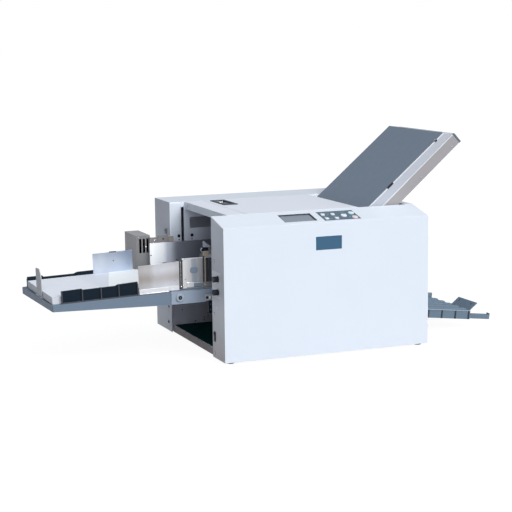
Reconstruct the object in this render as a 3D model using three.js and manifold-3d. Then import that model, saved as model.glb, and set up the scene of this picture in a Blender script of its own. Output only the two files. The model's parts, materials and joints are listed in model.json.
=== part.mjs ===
// Paper folding machine: feed table on the left, slanting fold plate on top, delivery tray on the right.
// Millimetres. Design frame: X runs along the machine from its feed end, Y runs from the front face to the back, Z is up
// from the lower edge of the covers. The last lines shift everything to the part's frame: the middle of the footprint, on the surface.
import * as THREE from 'three';
import { mergeVertices } from 'three/addons/utils/BufferGeometryUtils.js';
import Module from 'manifold-3d';

const wasm = await Module();
wasm.setup();

// ---- driving dimensions -------------------------------------------------------------------------
const LEN = 650;            // length of the front and rear covers
const DEPTH = 623;          // front face to back face
const FRONT_H = 386;        // height of the front face
const TOP_H = 410.2;        // height of the top
const FRONT_D = 101;        // depth of the front cover
const REAR_Y = 474;         // where the rear cover starts
const SHEET = 2.5;          // cover thickness
const FOOT_H = 6;           // feet below the covers
const X_MID = 244.9;        // middle of the whole length, in the design frame
const Y_MID = DEPTH / 2;
const STRIP_X0 = 50, STRIP_X1 = 111;     // fixed top strip over the feed end
const LID_X1 = 468;                      // right end of the lifting top cover
const CONSOLE_TILT = Math.atan2(TOP_H - FRONT_H, FRONT_D);
const TABLE_X0 = -113.8, PLATE_X0 = -112, TABLE_X1 = 118, TABLE_Y0 = 130, TABLE_Y1 = 468, TABLE_Z = 194;
const EXT_Y0 = 132.5, EXT_Y1 = 465.5;
const PIVOT = { x: -88, z: 175.8 };      // hinge of the feed table's folding outer part
const TABLE_TILT = 1.76 * Math.PI / 180; // droop of the outer part
const SHAFT = { x: 60, z: 172, r: 5 };   // the table's lift shaft
const LIFT = 50;                         // travel of the lift
const STACK_Y0 = 143, STACK_Y1 = 446, STACK_H = 20;
const RAIL = { x: 150, z: 262, r: 6 };   // cross rail that carries the side guides
const ROLL_R = 20, ROLL_CC = 40.8;       // fold rollers and their centre distance
const R2 = [372, 210];
const polar = (c, deg) => [c[0] + ROLL_CC * Math.cos(deg * Math.PI / 180), c[1] + ROLL_CC * Math.sin(deg * Math.PI / 180)];
const R1 = polar(R2, 119), R3 = polar(R2, -17), R4 = polar(R3, 253);
const MOTOR = [300, 110];
const TRAY_PIVOT = { x: 656, z: 72 };
const TRAY_TILT = 6.8 * Math.PI / 180;

// ---- helpers ---------------------------------------------------------------------------------------
function solid(geometry) {
  const g = geometry.index ? geometry.toNonIndexed() : geometry.clone();
  const bare = new THREE.BufferGeometry().setAttribute('position', g.getAttribute('position'));
  const m = mergeVertices(bare, 1e-4);
  return new wasm.Manifold(new wasm.Mesh({ numProp: 3, vertProperties: new Float32Array(m.attributes.position.array), triVerts: new Uint32Array(m.index.array) }));
}
const box = (x0, x1, y0, y1, z0, z1) => solid(new THREE.BoxGeometry(x1 - x0, y1 - y0, z1 - z0).translate((x0 + x1) / 2, (y0 + y1) / 2, (z0 + z1) / 2));
const cylY = (x, z, r, y0, y1, n = 24) => solid(new THREE.CylinderGeometry(r, r, y1 - y0, n).translate(x, (y0 + y1) / 2, z));
const cylX = (y, z, r, x0, x1, n = 24) => solid(new THREE.CylinderGeometry(r, r, x1 - x0, n).rotateZ(Math.PI / 2).translate((x0 + x1) / 2, y, z));
const cylZ = (x, y, r, z0, z1, n = 24, r2 = r) => solid(new THREE.CylinderGeometry(r2, r, z1 - z0, n).rotateX(Math.PI / 2).translate(x, y, (z0 + z1) / 2));
const shapeOf = (pts) => { const s = new THREE.Shape(); pts.forEach((p, i) => (i ? s.lineTo(p[0], p[1]) : s.moveTo(p[0], p[1]))); s.closePath(); return s; };
// a polygon in X and Z, drawn along Y
const alongY = (pts, y0, y1) => solid(new THREE.ExtrudeGeometry(shapeOf(pts), { depth: y1 - y0, bevelEnabled: false }).rotateX(Math.PI / 2).translate(0, y1, 0));
// a polygon in Y and Z, drawn along X
const toX = new THREE.Matrix4().makeBasis(new THREE.Vector3(0, 1, 0), new THREE.Vector3(0, 0, 1), new THREE.Vector3(1, 0, 0));
const alongX = (pts, x0, x1) => solid(new THREE.ExtrudeGeometry(shapeOf(pts), { depth: x1 - x0, bevelEnabled: false }).applyMatrix4(toX).translate(x0, 0, 0));
// a polygon in X and Y, drawn along Z
const alongZ = (pts, z0, z1) => solid(new THREE.ExtrudeGeometry(shapeOf(pts), { depth: z1 - z0, bevelEnabled: false }).translate(0, 0, z0));
const join = (...s) => s.reduce((a, b) => a.add(b));
const cut = (a, ...s) => s.reduce((r, b) => r.subtract(b), a);
const arc = (cx, cz, r, a0, a1, n) => Array.from({ length: n + 1 }, (_, i) => { const a = (a0 + (a1 - a0) * i / n) * Math.PI / 180; return [cx + r * Math.cos(a), cz + r * Math.sin(a)]; });

const root = new THREE.Group();
root.name = 'paper_folding_machine';
function piece(name, s, color, roughness = 0.5, metalness = 0, parent = root) {
  const m = s.getMesh();
  const g = new THREE.BufferGeometry();
  g.setAttribute('position', new THREE.BufferAttribute(new Float32Array(m.vertProperties), 3));
  g.setIndex(new THREE.BufferAttribute(new Uint32Array(m.triVerts), 1));
  g.computeVertexNormals();
  const mesh = new THREE.Mesh(g, new THREE.MeshStandardMaterial({ color, roughness, metalness }));
  mesh.name = name;
  parent.add(mesh);
  return mesh;
}

// colours read off the photograph
const WHITE = 0xdfe5f1, GREY = 0x9a9ca2, BLUEGREY = 0x7c8c9c, DARKPANEL = 0x6c7888, STEEL = 0xc8c6c4, BLACK = 0x2a2a30, WARMGREY = 0x8a8784, TRAY = 0x6f8496;

// ---- base, side frames and feet ----------------------------------------------------------------------
// a raised floor between the side frames, turned down at its ends, with a flange at each side under the casings
let pan = join(
  box(4, 646, 4, 103.6, 4, 6),
  box(4, 646, 471.4, 619, 4, 6),
  box(4, 646, 101.6, 473.4, 21.5, 23.5),
  box(4, 646, 101.6, 103.6, 4, 22),
  box(4, 646, 471.4, 473.4, 4, 22),
  box(4, 6, 101.6, 473.4, 2.5, 22),
  box(644, 646, 101.6, 473.4, 2.5, 22));
pan = cut(pan, box(639.6, 648, 473.6, 476.9, 0, 10));
// air openings under the two side casings
pan = cut(pan, box(60, 590, 22, 82, 0, 10), box(60, 250, 492, 588, 0, 10), box(350, 590, 492, 588, 0, 10));
piece('base_pan', pan, 0x55565a, 0.5, 0.3);

const slot = (y0, y1) => box(SHAFT.x - SHAFT.r - 0.6, SHAFT.x + SHAFT.r + 0.6, y0, y1, SHAFT.z - LIFT - SHAFT.r - 3, SHAFT.z + SHAFT.r + 3);
const rollHoles = (y0, y1) => [R1, R2, R3, R4].map((c) => cylY(c[0], c[1], 8.4, y0, y1, 20));
let frontFrame = alongY([[2.9, 6.3], [647.1, 6.3], [647.1, 404], [2.9, 404]], 98.2, 100.7);
frontFrame = cut(frontFrame, slot(90, 110), ...rollHoles(90, 110), cylY(RAIL.x, RAIL.z, RAIL.r + 0.35, 90, 110, 16), cylY(95, 238, 6.4, 90, 110, 16));
piece('front_side_frame', frontFrame, GREY, 0.45, 0.4);

let rearFrame = alongY([[3, 6.3], [639.6, 6.3], [639.6, 407.3], [37.4, 407.3], [37.4, 394], [46.5, 394], [46.5, 250], [37.4, 250], [37.4, 155.4], [3, 155.4]], REAR_Y, REAR_Y + 2.5);
rearFrame = cut(rearFrame, slot(460, 490), ...rollHoles(460, 490), cylY(RAIL.x, RAIL.z, RAIL.r + 0.35, 460, 490, 16), cylY(95, 238, 6.4, 460, 490, 16),
  cylY(72, 304, 4, 460, 490, 16), cylY(72, 293, 1.6, 460, 490, 8));
piece('rear_side_frame', rearFrame, 0x8b8d94, 0.45, 0.4);

[['foot_front_left', 24, 24], ['foot_front_right', 626, 24], ['foot_rear_left', 24, 599], ['foot_rear_right', 626, 599]].forEach(([n, x, y]) =>
  piece(n, join(cylZ(x, y, 12, -FOOT_H, -1, 20, 14), cylZ(x, y, 14, -1, 3.7, 20)), 0x1c1c1e, 0.85, 0));

// ---- covers -----------------------------------------------------------------------------------------------
const slopeZ = (y) => FRONT_H + (TOP_H - FRONT_H) * y / FRONT_D;
let front = alongX([[0, 0], [FRONT_D, 0], [FRONT_D, TOP_H], [0, FRONT_H]], 0, LEN);
front = cut(front, alongX([[SHEET, -1], [FRONT_D + 1, -1], [FRONT_D + 1, TOP_H - SHEET], [SHEET, FRONT_H - SHEET + 0.4]], SHEET, LEN - SHEET));
// a cut given in the sloping console plane: X, distance up the slope, height above it
const console_ = new THREE.Matrix4().makeRotationX(CONSOLE_TILT).setPosition(0, 0, FRONT_H);
const inConsole = (s) => s.transform(console_.elements);
front = cut(front, inConsole(box(196, 298, 18.5, 80, -8, 8)), inConsole(box(319, 435, 12, 85, -8, 8)),
  cylX(48, 236, 4.6, -5, 6, 16), cylX(48, 198, 4.6, -5, 6, 16), box(-5, 6, 76.4, 87.6, 51, 75));
piece('front_cover', front, WHITE, 0.42, 0);

let rear = box(0, LEN, REAR_Y, DEPTH, 0, TOP_H);
rear = cut(rear, box(SHEET, LEN - SHEET, REAR_Y + SHEET, DEPTH - SHEET, -1, TOP_H - SHEET), box(37, 640, REAR_Y - 1, REAR_Y + SHEET + 1, -1, TOP_H - SHEET),
  box(SHEET, 38, REAR_Y - 1, REAR_Y + SHEET + 1, -1, 155.8),
  box(59.5, 88.5, 615, 630, 37.5, 62.5), cylY(29, 304, 4, 460, 480, 16), cylY(29, 292, 1.6, 460, 480, 8));
piece('rear_cover', rear, WHITE, 0.42, 0);

piece('top_left_cover', join(box(STRIP_X0, STRIP_X1, 101.4, 473.6, TOP_H - 2.2, TOP_H), box(STRIP_X0, STRIP_X0 + 2, 101.4, 473.6, TOP_H - 23, TOP_H - 1),
  box(STRIP_X0 + 2, STRIP_X1, 101.4, 103, TOP_H - 14, TOP_H - 1), box(STRIP_X0 + 2, STRIP_X1, 472, 473.6, TOP_H - 14, TOP_H - 1)), 0xd0d4dd, 0.42, 0);

let endCover = join(box(647.8, LEN, 101.4, 473.6, 6.3, TOP_H), box(624, LEN, 101.4, 473.6, TOP_H - 2.2, TOP_H),
  ...[164.2, 417].flatMap((y) => [box(647.8, 656, y, y + 5.8, 66.6, 77.4), cylY(TRAY_PIVOT.x, TRAY_PIVOT.z, 5.4, y, y + 5.8, 18)]));
endCover = cut(endCover, box(640, 655, 172, 415, 78.5, 106), cylY(TRAY_PIVOT.x, TRAY_PIVOT.z, 2.5, 160, 430, 12));
piece('delivery_end_cover', endCover, 0xcfd3dc, 0.42, 0);

let lid = join(box(STRIP_X1 + 0.6, LID_X1, 101.6, 473.4, TOP_H - 2, TOP_H), box(STRIP_X1 + 0.6, STRIP_X1 + 2.6, 101.6, 473.4, TOP_H - 14, TOP_H - 1),
  box(STRIP_X1 + 1, LID_X1 - 12, 101.6, 103.6, TOP_H - 14, TOP_H - 1), box(STRIP_X1 + 1, LID_X1 - 12, 471.4, 473.4, TOP_H - 14, TOP_H - 1));
lid = cut(lid, box(133, 169, 338, 452, TOP_H - 6, TOP_H + 2));
lid = join(lid, cut(box(131, 171, 336, 454, TOP_H - 13, TOP_H - 1), box(133, 169, 338, 452, TOP_H - 11, TOP_H + 2)));
piece('top_cover', lid, 0xd4d9e2, 0.42, 0);
// the latch lever lies in the recess and lifts at its front end
piece('top_cover_latch', join(box(136, 166, 372, 448, TOP_H - 4.5, TOP_H - 1), box(136, 166, 372, 376, TOP_H - 8, TOP_H - 1), cylX(446, TOP_H - 4.5, 3, 134, 168, 14)), 0x4a525c, 0.4, 0.2);

// ---- console ----------------------------------------------------------------------------------------------
const deck = new THREE.Group();
deck.position.set(0, 0, FRONT_H);
deck.rotation.x = CONSOLE_TILT;
root.add(deck);
piece('display_window', join(box(196.4, 297.6, 18.9, 79.6, -8, -0.9), box(192, 302, 15, 84, -8, -3.2)), 0x8a93a3, 0.2, 0, deck);
const rectKeys = [['key_minus', 332, 28.6], ['key_plus', 363, 27.5], ['key_menu', 332, 60.8], ['key_mode', 363.4, 59.8]];
const roundKeys = [['key_set', 393, 45.2, 9.4], ['key_start', 423.5, 61.5, 9.2], ['key_stop', 420.8, 27, 9.2]];
let pad = join(box(319.4, 434.6, 12.4, 84.6, -3, 0.5), box(315, 439, 8, 89, -6, -3.2), box(318.9 + 1, 434, 13, 84, -4, -2));
const roundRect = (x, y, w, h, r) => [[x + w / 2 - r, y - h / 2 + r, -90], [x + w / 2 - r, y + h / 2 - r, 0], [x - w / 2 + r, y + h / 2 - r, 90], [x - w / 2 + r, y - h / 2 + r, 180]].flatMap(([cx, cy, a]) => arc(cx, cy, r, a, a + 90, 3));
rectKeys.forEach(([, x, s]) => { pad = cut(pad, alongZ(roundRect(x, s, 12.6, 12.1, 2.2), -10, 5)); });
roundKeys.forEach(([, x, s, r]) => { pad = cut(pad, cylZ(x, s, r + 0.6, -10, 5, 20)); });
piece('keypad_panel', pad, 0x5f7689, 0.35, 0, deck);
rectKeys.forEach(([n, x, s]) => piece(n, alongZ(roundRect(x, s, 11.6, 11.1, 1.8), -5, 2), 0xf2f4f6, 0.35, 0, deck));
roundKeys.forEach(([n, x, s, r]) => piece(n, join(cylZ(x, s, r, -5, 1.4, 20), cylZ(x, s, r, 1.4, 2.3, 20, r - 1.2)), n === 'key_set' ? 0xf4f6f8 : n === 'key_start' ? 0xcfeaf2 : 0xf2d2cf, 0.35, 0, deck));

// ---- controls on the feed end of the front cover ---------------------------------------------------------
[['air_knob_upper', 236], ['air_knob_lower', 198]].forEach(([n, z]) =>
  piece(n, join(cylX(48, z, 9, -17, -0.5, 24), cylX(48, z, 4, -1, 14, 16)), BLACK, 0.5, 0));
const rock = alongY([[-1.2, 52], [2.4, 52.6], [8, 54], [8, 72], [2.4, 73.4], [-4, 74], [-1.9, 63]], 77, 87);
piece('power_rocker', rock, 0x1b1b1f, 0.4, 0);
piece('power_inlet', cut(box(60, 88, 596, 622.4, 38, 62), box(64, 84, 604, 630, 42, 58)), 0x1d1d20, 0.5, 0);

// ---- feed table ---------------------------------------------------------------------------------------------
// inner part: a flat plate with turned-down walls, ears that carry the outer part's pins, and the lift shaft that runs in the frame slots
let table = join(
  box(PLATE_X0, TABLE_X1, TABLE_Y0, TABLE_Y1, TABLE_Z - 2, TABLE_Z),
  box(TABLE_X0, -8, TABLE_Y0, TABLE_Y0 + 2.2, 157, TABLE_Z),
  box(TABLE_X0, -8, TABLE_Y1 - 2.2, TABLE_Y1, 157, TABLE_Z),
  box(-9, 74, TABLE_Y0, TABLE_Y0 + 2.2, 163, TABLE_Z - 1),
  box(-9, 74, TABLE_Y1 - 2.2, TABLE_Y1, 163, TABLE_Z - 1),
  box(-12, 10, TABLE_Y0 - 3, TABLE_Y0 + 1, 161, 180),
  box(TABLE_X1 - 2, TABLE_X1, TABLE_Y0, TABLE_Y1, 184, TABLE_Z - 1),
  cylY(SHAFT.x, SHAFT.z, SHAFT.r, 92, 482, 20));
table = cut(table, cylY(PIVOT.x, PIVOT.z, 4.4, TABLE_Y0 - 5, TABLE_Y0 + 5, 20), cylY(PIVOT.x, PIVOT.z, 4.4, TABLE_Y1 - 5, TABLE_Y1 + 5, 20),
  // room for the outer part's flanges as they turn
  box(TABLE_X0 - 1, -60, TABLE_Y0 + 2.2, EXT_Y0 + 2.8, 150, TABLE_Z + 1), box(TABLE_X0 - 1, -60, EXT_Y1 - 2.8, TABLE_Y1 - 2.2, 150, TABLE_Z + 1));
piece('feed_table', table, BLUEGREY, 0.45, 0.2);

// outer part, in a frame that droops a little; u runs as X from X = -86, w as Z from Z = 174
const outer = new THREE.Group();
outer.position.set(-86, 0, 174);
outer.rotation.y = -TABLE_TILT;
root.add(outer);
const U0 = -387, U0F = -376, U1 = -29, W = 20.6;   // the far edge runs a little askew: U0 at the back, U0F at the front
const ct = Math.cos(TABLE_TILT), st = Math.sin(TABLE_TILT);
const PU = (PIVOT.x + 86) * ct + (PIVOT.z - 174) * st, PW = -(PIVOT.x + 86) * st + (PIVOT.z - 174) * ct;
// the flanges are deep at the hinge, shallow at the far end, and carry a tongue with the hinge pin
const tongue = [[U1 - 30, PW + 12], [U1 - 30, PW - 12], [PU, PW - 12], ...arc(PU, PW, 12, -80, 80, 8), [PU, PW + 12]];
const plan = (d) => [[U1 + (d ? 5 : 0), EXT_Y0 + d], [U1 + (d ? 5 : 0), EXT_Y1 - d], ...arc(U0 + 6, EXT_Y1 - 6, 6 - d, 90, 180, 4), ...arc(U0F + 3, EXT_Y0 + 3, 3 - d, 180, 270, 3)];
let ext = cut(alongZ(plan(0), W - 20, W), alongZ(plan(2.4), W - 21, W - 2), box(U0F + 6, U1 + 5, EXT_Y0 + 2.4, EXT_Y1 - 2.4, -40, W - 2));
const skirt = cut(alongZ(plan(0), -30, W - 0.5), alongZ(plan(2.4), -31, W + 1));
ext = join(ext, skirt).intersect(alongY([[U0 - 2, W + 1], [U0 - 2, W - 19], [U1 + 1, -17.5], [U1 + 1, W + 1]], EXT_Y0 - 1, EXT_Y1 + 1));
ext = join(ext, alongY(tongue, EXT_Y0, EXT_Y0 + 2.4), alongY(tongue, EXT_Y1 - 2.4, EXT_Y1),
  cylY(PU, PW, 4, TABLE_Y0 - 1, EXT_Y0 + 1, 20), cylY(PU, PW, 12, TABLE_Y0 - 3.4, TABLE_Y0 - 0.4, 24),
  cylY(PU, PW, 4, EXT_Y1 - 1, TABLE_Y1 + 1, 20), cylY(PU, PW, 12, TABLE_Y1 + 0.4, TABLE_Y1 + 3.4, 24));
// slot in the plate, beside the front guide, so the guide's fixed part can pass as this part folds up
ext = cut(ext, box(PU - 112, U1 + 1, 136.9, 143.6, W - 5, W + 1), box(U1 - 0.8, U1 + 1, 136.9, 143.6, W - 5, W + 1));
piece('feed_table_extension', ext, BLUEGREY, 0.45, 0.2, outer);
piece('paper_stack', box(-373, -32, STACK_Y0, STACK_Y1, W + 0.3, W + 0.3 + STACK_H), 0xf4f5f7, 0.8, 0, outer);

// black plastic side plates: a wall with a stepped top, a foot and ribs
const plateF = join(
  alongY([[-348, W + 0.4], [-124, W + 0.4], [-124, W + 40], [-183, W + 38], [-190, W + 35], [-284, W + 34], [-289, W + 37.5], [-348, W + 36]], 138.2, 141),
  box(-346, -124, 132.6, 139, W + 0.4, W + 3),
  ...[-348, -289, -236, -184, -126.4].map((u) => box(u, u + 2.4, 133, 139, W + 1, W + (u < -300 ? 33 : 36))));
piece('side_plate_front', plateF, BLACK, 0.5, 0, outer);
const plateR = join(
  alongY([[-373, W + 0.4], [-158, W + 0.4], [-158, W + 31.5], [-220, W + 31], [-229, W + 27], [-322, W + 27], [-327, W + 31.5], [-373, W + 31.5]], 449.6, 452.4),
  box(-373, -158, 452, 460, W + 0.4, W + 3),
  ...[-373, -315, -258, -200, -160.4].map((u) => box(u, u + 2.4, 452, 459, W + 1, W + 25)));
piece('side_plate_rear', plateR, BLACK, 0.5, 0, outer);
// end guide: an upright plate with a clipped corner on a low foot, against the stack's end
const finger = join(
  alongX([[314, W + 0.4], [314, W + 40], [314, W + 74], ...arc(307, W + 74, 7, 20, 90, 4), [282, W + 82.5], ...arc(274, W + 74.5, 8, 90, 140, 3), [256, W + 66], [254, W + 60], [254, W + 0.4]], -376.4, -373.8),
  box(-379.6, -373.8, 250, 322, W + 0.4, W + 3));
piece('end_guide', finger, 0xb9bcc4, 0.45, 0, outer);
// polished steel guide plates that stand on the outer part
piece('front_guide_outer', join(alongY([[-121, W + 1.6], [-32.2, W + 1.6], [-32.2, W + 85.4], [-121, W + 84]], 135.4, 136.7), box(-119, -33.4, 132.8, 135.6, W + 1.6, W + 3)), STEEL, 0.25, 1, outer);
piece('rear_guide_outer', alongY([[-169, W + 1.6], [-44, W + 1.6], [-44, W + 82], [-169, W + 81]], 447.4, 448.8), STEEL, 0.25, 1, outer);

// ---- side guides on the cross rail ------------------------------------------------------------------------
piece('guide_cross_rail', cylY(RAIL.x, RAIL.z, RAIL.r, 94, 481, 20), STEEL, 0.3, 1);
const hub = (y0, y1) => cut(box(RAIL.x - 10, RAIL.x + 10, y0, y1, RAIL.z - 10, RAIL.z + 10), cylY(RAIL.x, RAIL.z, RAIL.r + 0.4, y0 - 5, y1 + 5, 20));
let fg = join(
  // outer leaf, its lip, and the double post between the leaves
  alongY([[-117.5, 196.8], [-86.4, 197.6], [-86.4, 280.6], [-117.5, 279.5]], 137.2, 138.5),
  box(-107.8, -87, 135.2, 137.6, 196.8, 198.2),
  cylZ(-83, 139.8, 2.5, 199, 280, 12), box(-88, -76, 138.2, 142, 200, 206), box(-88, -76, 138.2, 142, 274, 280),
  cylZ(-75.4, 140.4, 2.4, 200, 285, 12),
  // inner leaf with its folded edges
  box(-76, 40, 141.4, 142.8, 199, 287.4),
  box(-68, 40, 138.8, 142, 199, 216), box(-68, 40, 139.4, 142, 284.8, 287.4),
  // clamp rod and the blocks that tie the guide to the rail
  cylZ(-4, 145, 3.2, 205, 304, 12), box(-10, 6, 141.4, 150, 288, 304), box(-10, 6, 141.4, 150, 199, 206),
  alongY([[-11, 317], [14, 317], [14, 322], [-9, 333], [-11, 333]], 141.4, 147), box(-14, 18, 141.4, 156, 304, 318),
  // arm over the drum's shaft to the rail
  box(39, 163, 141.4, 142.8, 250, 274));
fg = join(cut(fg, cylY(RAIL.x, RAIL.z, RAIL.r + 0.4, 130, 170, 20)), hub(141.4, 163));
piece('front_side_guide', fg, STEEL, 0.28, 1);
let rg = join(
  alongY([[-74, 228], [126, 228], [126, 250], [163, 250], [163, 274], [130, 274], [126, 291], [-74, 290]], 451.2, 452.6),
  box(2, 8, 451.2, 456.6, 284, 290));
rg = cut(rg, cylY(RAIL.x, RAIL.z, RAIL.r + 0.4, 430, 470, 20), cylY(95, 238, 8, 448, 458, 16), box(87, 103, 448, 458, 226, 238));
rg = join(rg, hub(438, 458));
piece('rear_side_guide', rg, STEEL, 0.28, 1);
let blower = join(box(-112, -67, 470, 590, 205, 313), box(-72, 5, 457, 459.4, 287, 307), box(-72, -68, 457, 472, 287, 307));
blower = cut(blower, ...[-98.5, -86.8, -75.3].map((x) => box(x - 3.6, x + 3.6, 466, 476, 259, 303)),
  box(-109, -70, 474, 587, 208, 310));
blower = cut(blower, box(-60, 2, 455, 461, 285, 289));
piece('side_blower', blower, WARMGREY, 0.45, 0.3);
// the suction drum lifts the top sheet off the stack
let drum = join(cylY(95, 238, 30, 176, 398, 32), cylY(95, 238, 6, 92, 484, 16));
for (const y of [206, 260, 314, 368]) for (let k = 0; k < 6; k++) {
  const a = k * Math.PI / 3 + Math.PI / 8;
  drum = cut(drum, solid(new THREE.CylinderGeometry(4.5, 4.5, 10, 6).rotateX(Math.PI / 2).rotateY(Math.PI / 2).applyMatrix4(
    new THREE.Matrix4().makeRotationY(-a)).translate(95 + 28 * Math.cos(a), y, 238 + 28 * Math.sin(a))));
}
piece('suction_drum', drum, 0x8f9396, 0.4, 0.6);

// ---- fold rollers, gears and drive ------------------------------------------------------------------------
[R1, R2, R3, R4].forEach((c, i) =>
  piece(`fold_roller_${i + 1}`, cut(join(cylY(c[0], c[1], ROLL_R, 104, 470, 24), cylY(c[0], c[1], 8, 88, i === 1 ? 514 : 497, 16)),
    ...[190, 376].map((y) => cut(cylY(c[0], c[1], ROLL_R + 2, y, y + 8, 24), cylY(c[0], c[1], ROLL_R - 1.5, y - 1, y + 9, 24)))), i % 2 ? 0x3a3c40 : 0x4a4640, 0.6, 0.2));
// spur gears, module 2, 20 teeth, with working clearance
function gear(c, phase, y0, y1) {
  const N = 20, pitch = 2 * Math.PI / N, pts = [];
  for (let k = 0; k < N; k++) {
    const a = phase + k * pitch;
    for (const [r, h] of [[17.6, -0.31], [22.0, -0.085], [22.0, 0.085], [17.6, 0.31]]) pts.push([c[0] + r * Math.cos(a + h * pitch), c[1] + r * Math.sin(a + h * pitch)]);
  }
  return cut(alongY(pts, y0, y1), cylY(c[0], c[1], 8.3, y0 - 2, y1 + 2, 20));
}
const half = Math.PI / 20;
const toR1 = 119 * Math.PI / 180, toR3 = -17 * Math.PI / 180, toR4 = 253 * Math.PI / 180;
// a tooth of one gear points at a gap of its mate
const ph2 = toR1, ph1 = toR1 + Math.PI + half;
const ph2at3 = ((toR3 - ph2) / (2 * half)); const off3 = (ph2at3 - Math.round(ph2at3)) * 2 * half; // how far R2's nearest tooth is from the line to R3
const ph3 = toR3 + Math.PI + half + off3;
const n34 = ((toR4 - ph3) / (2 * half)); const off4 = (n34 - Math.round(n34)) * 2 * half;
const ph4 = toR4 + Math.PI + half + off4;
[[R1, ph1], [R2, ph2], [R3, ph3], [R4, ph4]].forEach(([c, p], i) => piece(`roller_gear_${i + 1}`, gear(c, p, 482, 494), 0xd9d6cc, 0.5, 0));
const rim = (c, r, hole, y0) => { let s = join(cylY(c[0], c[1], r, y0, y0 + 12, 28), cylY(c[0], c[1], r + 2.6, y0 - 1.4, y0, 28), cylY(c[0], c[1], r + 2.6, y0 + 12, y0 + 13.4, 28)); return hole ? cut(s, cylY(c[0], c[1], hole, y0 - 5, y0 + 20, 20)) : s; };
piece('roller_pulley', rim(R2, 20, 8.3, 499), 0xb9bbbd, 0.35, 0.8);
piece('motor_pulley', join(rim(MOTOR, 12, 0, 499), cylY(MOTOR[0], MOTOR[1], 5, 498, 540, 16)), 0xb9bbbd, 0.35, 0.8);
const dx = R2[0] - MOTOR[0], dz = R2[1] - MOTOR[1], dd = Math.hypot(dx, dz), dir = Math.atan2(dz, dx) * 180 / Math.PI;
const loop = (ra, rb) => { const t = Math.acos((ra - rb) / dd) * 180 / Math.PI; return [...arc(R2[0], R2[1], ra, dir - t, dir + t, 16), ...arc(MOTOR[0], MOTOR[1], rb, dir + t, dir + 360 - t, 12)]; };
piece('drive_belt', cut(alongY(loop(22.3, 14.3), 500, 510), alongY(loop(20.4, 12.4), 498, 512)), 0x222224, 0.8, 0);
piece('main_motor', cut(join(cylY(MOTOR[0], MOTOR[1], 38, 516, 600, 28), box(268, 332, 524, 592, 6.4, 90)), cylY(MOTOR[0], MOTOR[1], 5.5, 510, 545, 16)), 0x3c3f44, 0.4, 0.5);
piece('vacuum_blower', join(cylZ(520, 330, 52, 23.9, 82, 28), box(470, 520, 330, 400, 23.9, 66), cylZ(520, 330, 22, 76, 104, 20)), 0x33363a, 0.5, 0.1);

// ---- fold plate above ------------------------------------------------------------------------------------------
const low = [[422, 251.2], [812.2, 587.7]], mid = [[396, 265.6], [787.4, 615.2]];
const FY0 = 107, FY1 = 467;
let fp = alongY([low[0], low[1], mid[1], mid[0]], FY0, FY1);
const e = [0.757, 0.653], nn = [-0.653, 0.757];
const sh = (p, a, b) => [p[0] + e[0] * a + nn[0] * b, p[1] + e[1] * a + nn[1] * b];
fp = cut(fp, alongY([sh(low[0], -40, 3), sh(low[1], -3, 3), sh(mid[1], -3, -3), sh(mid[0], -40, -3)], FY0 + 3, FY1 - 3));
piece('fold_plate_1_frame', fp, 0xb0adab, 0.45, 0.3);
piece('fold_plate_1_end_cap', alongY([sh(low[1], 0.4, -0.6), sh(low[1], 7.6, -0.6), sh(mid[1], 7.6, -0.8), sh(mid[1], 0.4, -0.8)], FY0 - 0.6, FY1 + 0.6), 0x566470, 0.5, 0);
// wedge-shaped upper cover, open underneath
let fc = alongY([[478, 386], [537, 392.2], [788.6, 617.2], [757, 621.2]], FY0, FY1);
fc = cut(fc, alongY([[484, 380], [545, 392.2], [792, 613.1], [780, 615.6], [757.6, 618.4]], FY0 + 2, FY1 - 2));
piece('fold_plate_1_cover', fc, DARKPANEL, 0.5, 0);
// the stop bar slides inside the fold plate and sets where the sheet folds
const sp = [610, 427];
piece('fold_stop', join(alongY([sh(sp, -5, -7), sh(sp, 5, -7), sh(sp, 5, 7), sh(sp, -5, 7)], FY0 + 6, FY1 - 6), alongY([sh(sp, 5, -1.5), sh(sp, 22, -1.5), sh(sp, 22, 1.5), sh(sp, 5, 1.5)], 240, 330)), 0x9ea0a3, 0.35, 0.8);
// lower fold plate, under the rollers: a flat pocket whose mouth is at its upper end, in a frame that runs down from the mouth
const q0 = [364, 170], q1 = [176, 48];
const ql = Math.hypot(q1[0] - q0[0], q1[1] - q0[1]);
const pocket = new THREE.Group();
pocket.position.set(q0[0], 0, q0[1]);
pocket.rotation.y = Math.atan2(q0[1] - q1[1], q1[0] - q0[0]);
root.add(pocket);
piece('fold_plate_2', cut(box(0, ql, 108, 466, -8, 8), box(-5, ql - 3, 112, 462, -4.5, 4.5)), 0xa9abad, 0.4, 0.6, pocket);

// ---- delivery tray ------------------------------------------------------------------------------------------------
const tray = new THREE.Group();
tray.position.set(TRAY_PIVOT.x, 0, TRAY_PIVOT.z);
tray.rotation.y = TRAY_TILT;
root.add(tray);
const TY0 = 163, TY1 = 423, TU1 = 236;
// section across the tray: raised ribs along its length, a flange down at the front and back, a fence at the back
const section = [[TY0, -22], [TY0 + 3, -22], [TY0 + 3, 2.4], [TY1 - 3, 2.4], [TY1 - 3, -22], [TY1, -22], [TY1, 5.4]];
for (let y = TY1 - 30; y > TY0 + 24; y -= 46) section.push([y + 1, 5.4], [y - 2, 8], [y - 18, 8], [y - 21, 5.4]);
section.push([TY0, 5.4]);
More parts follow.
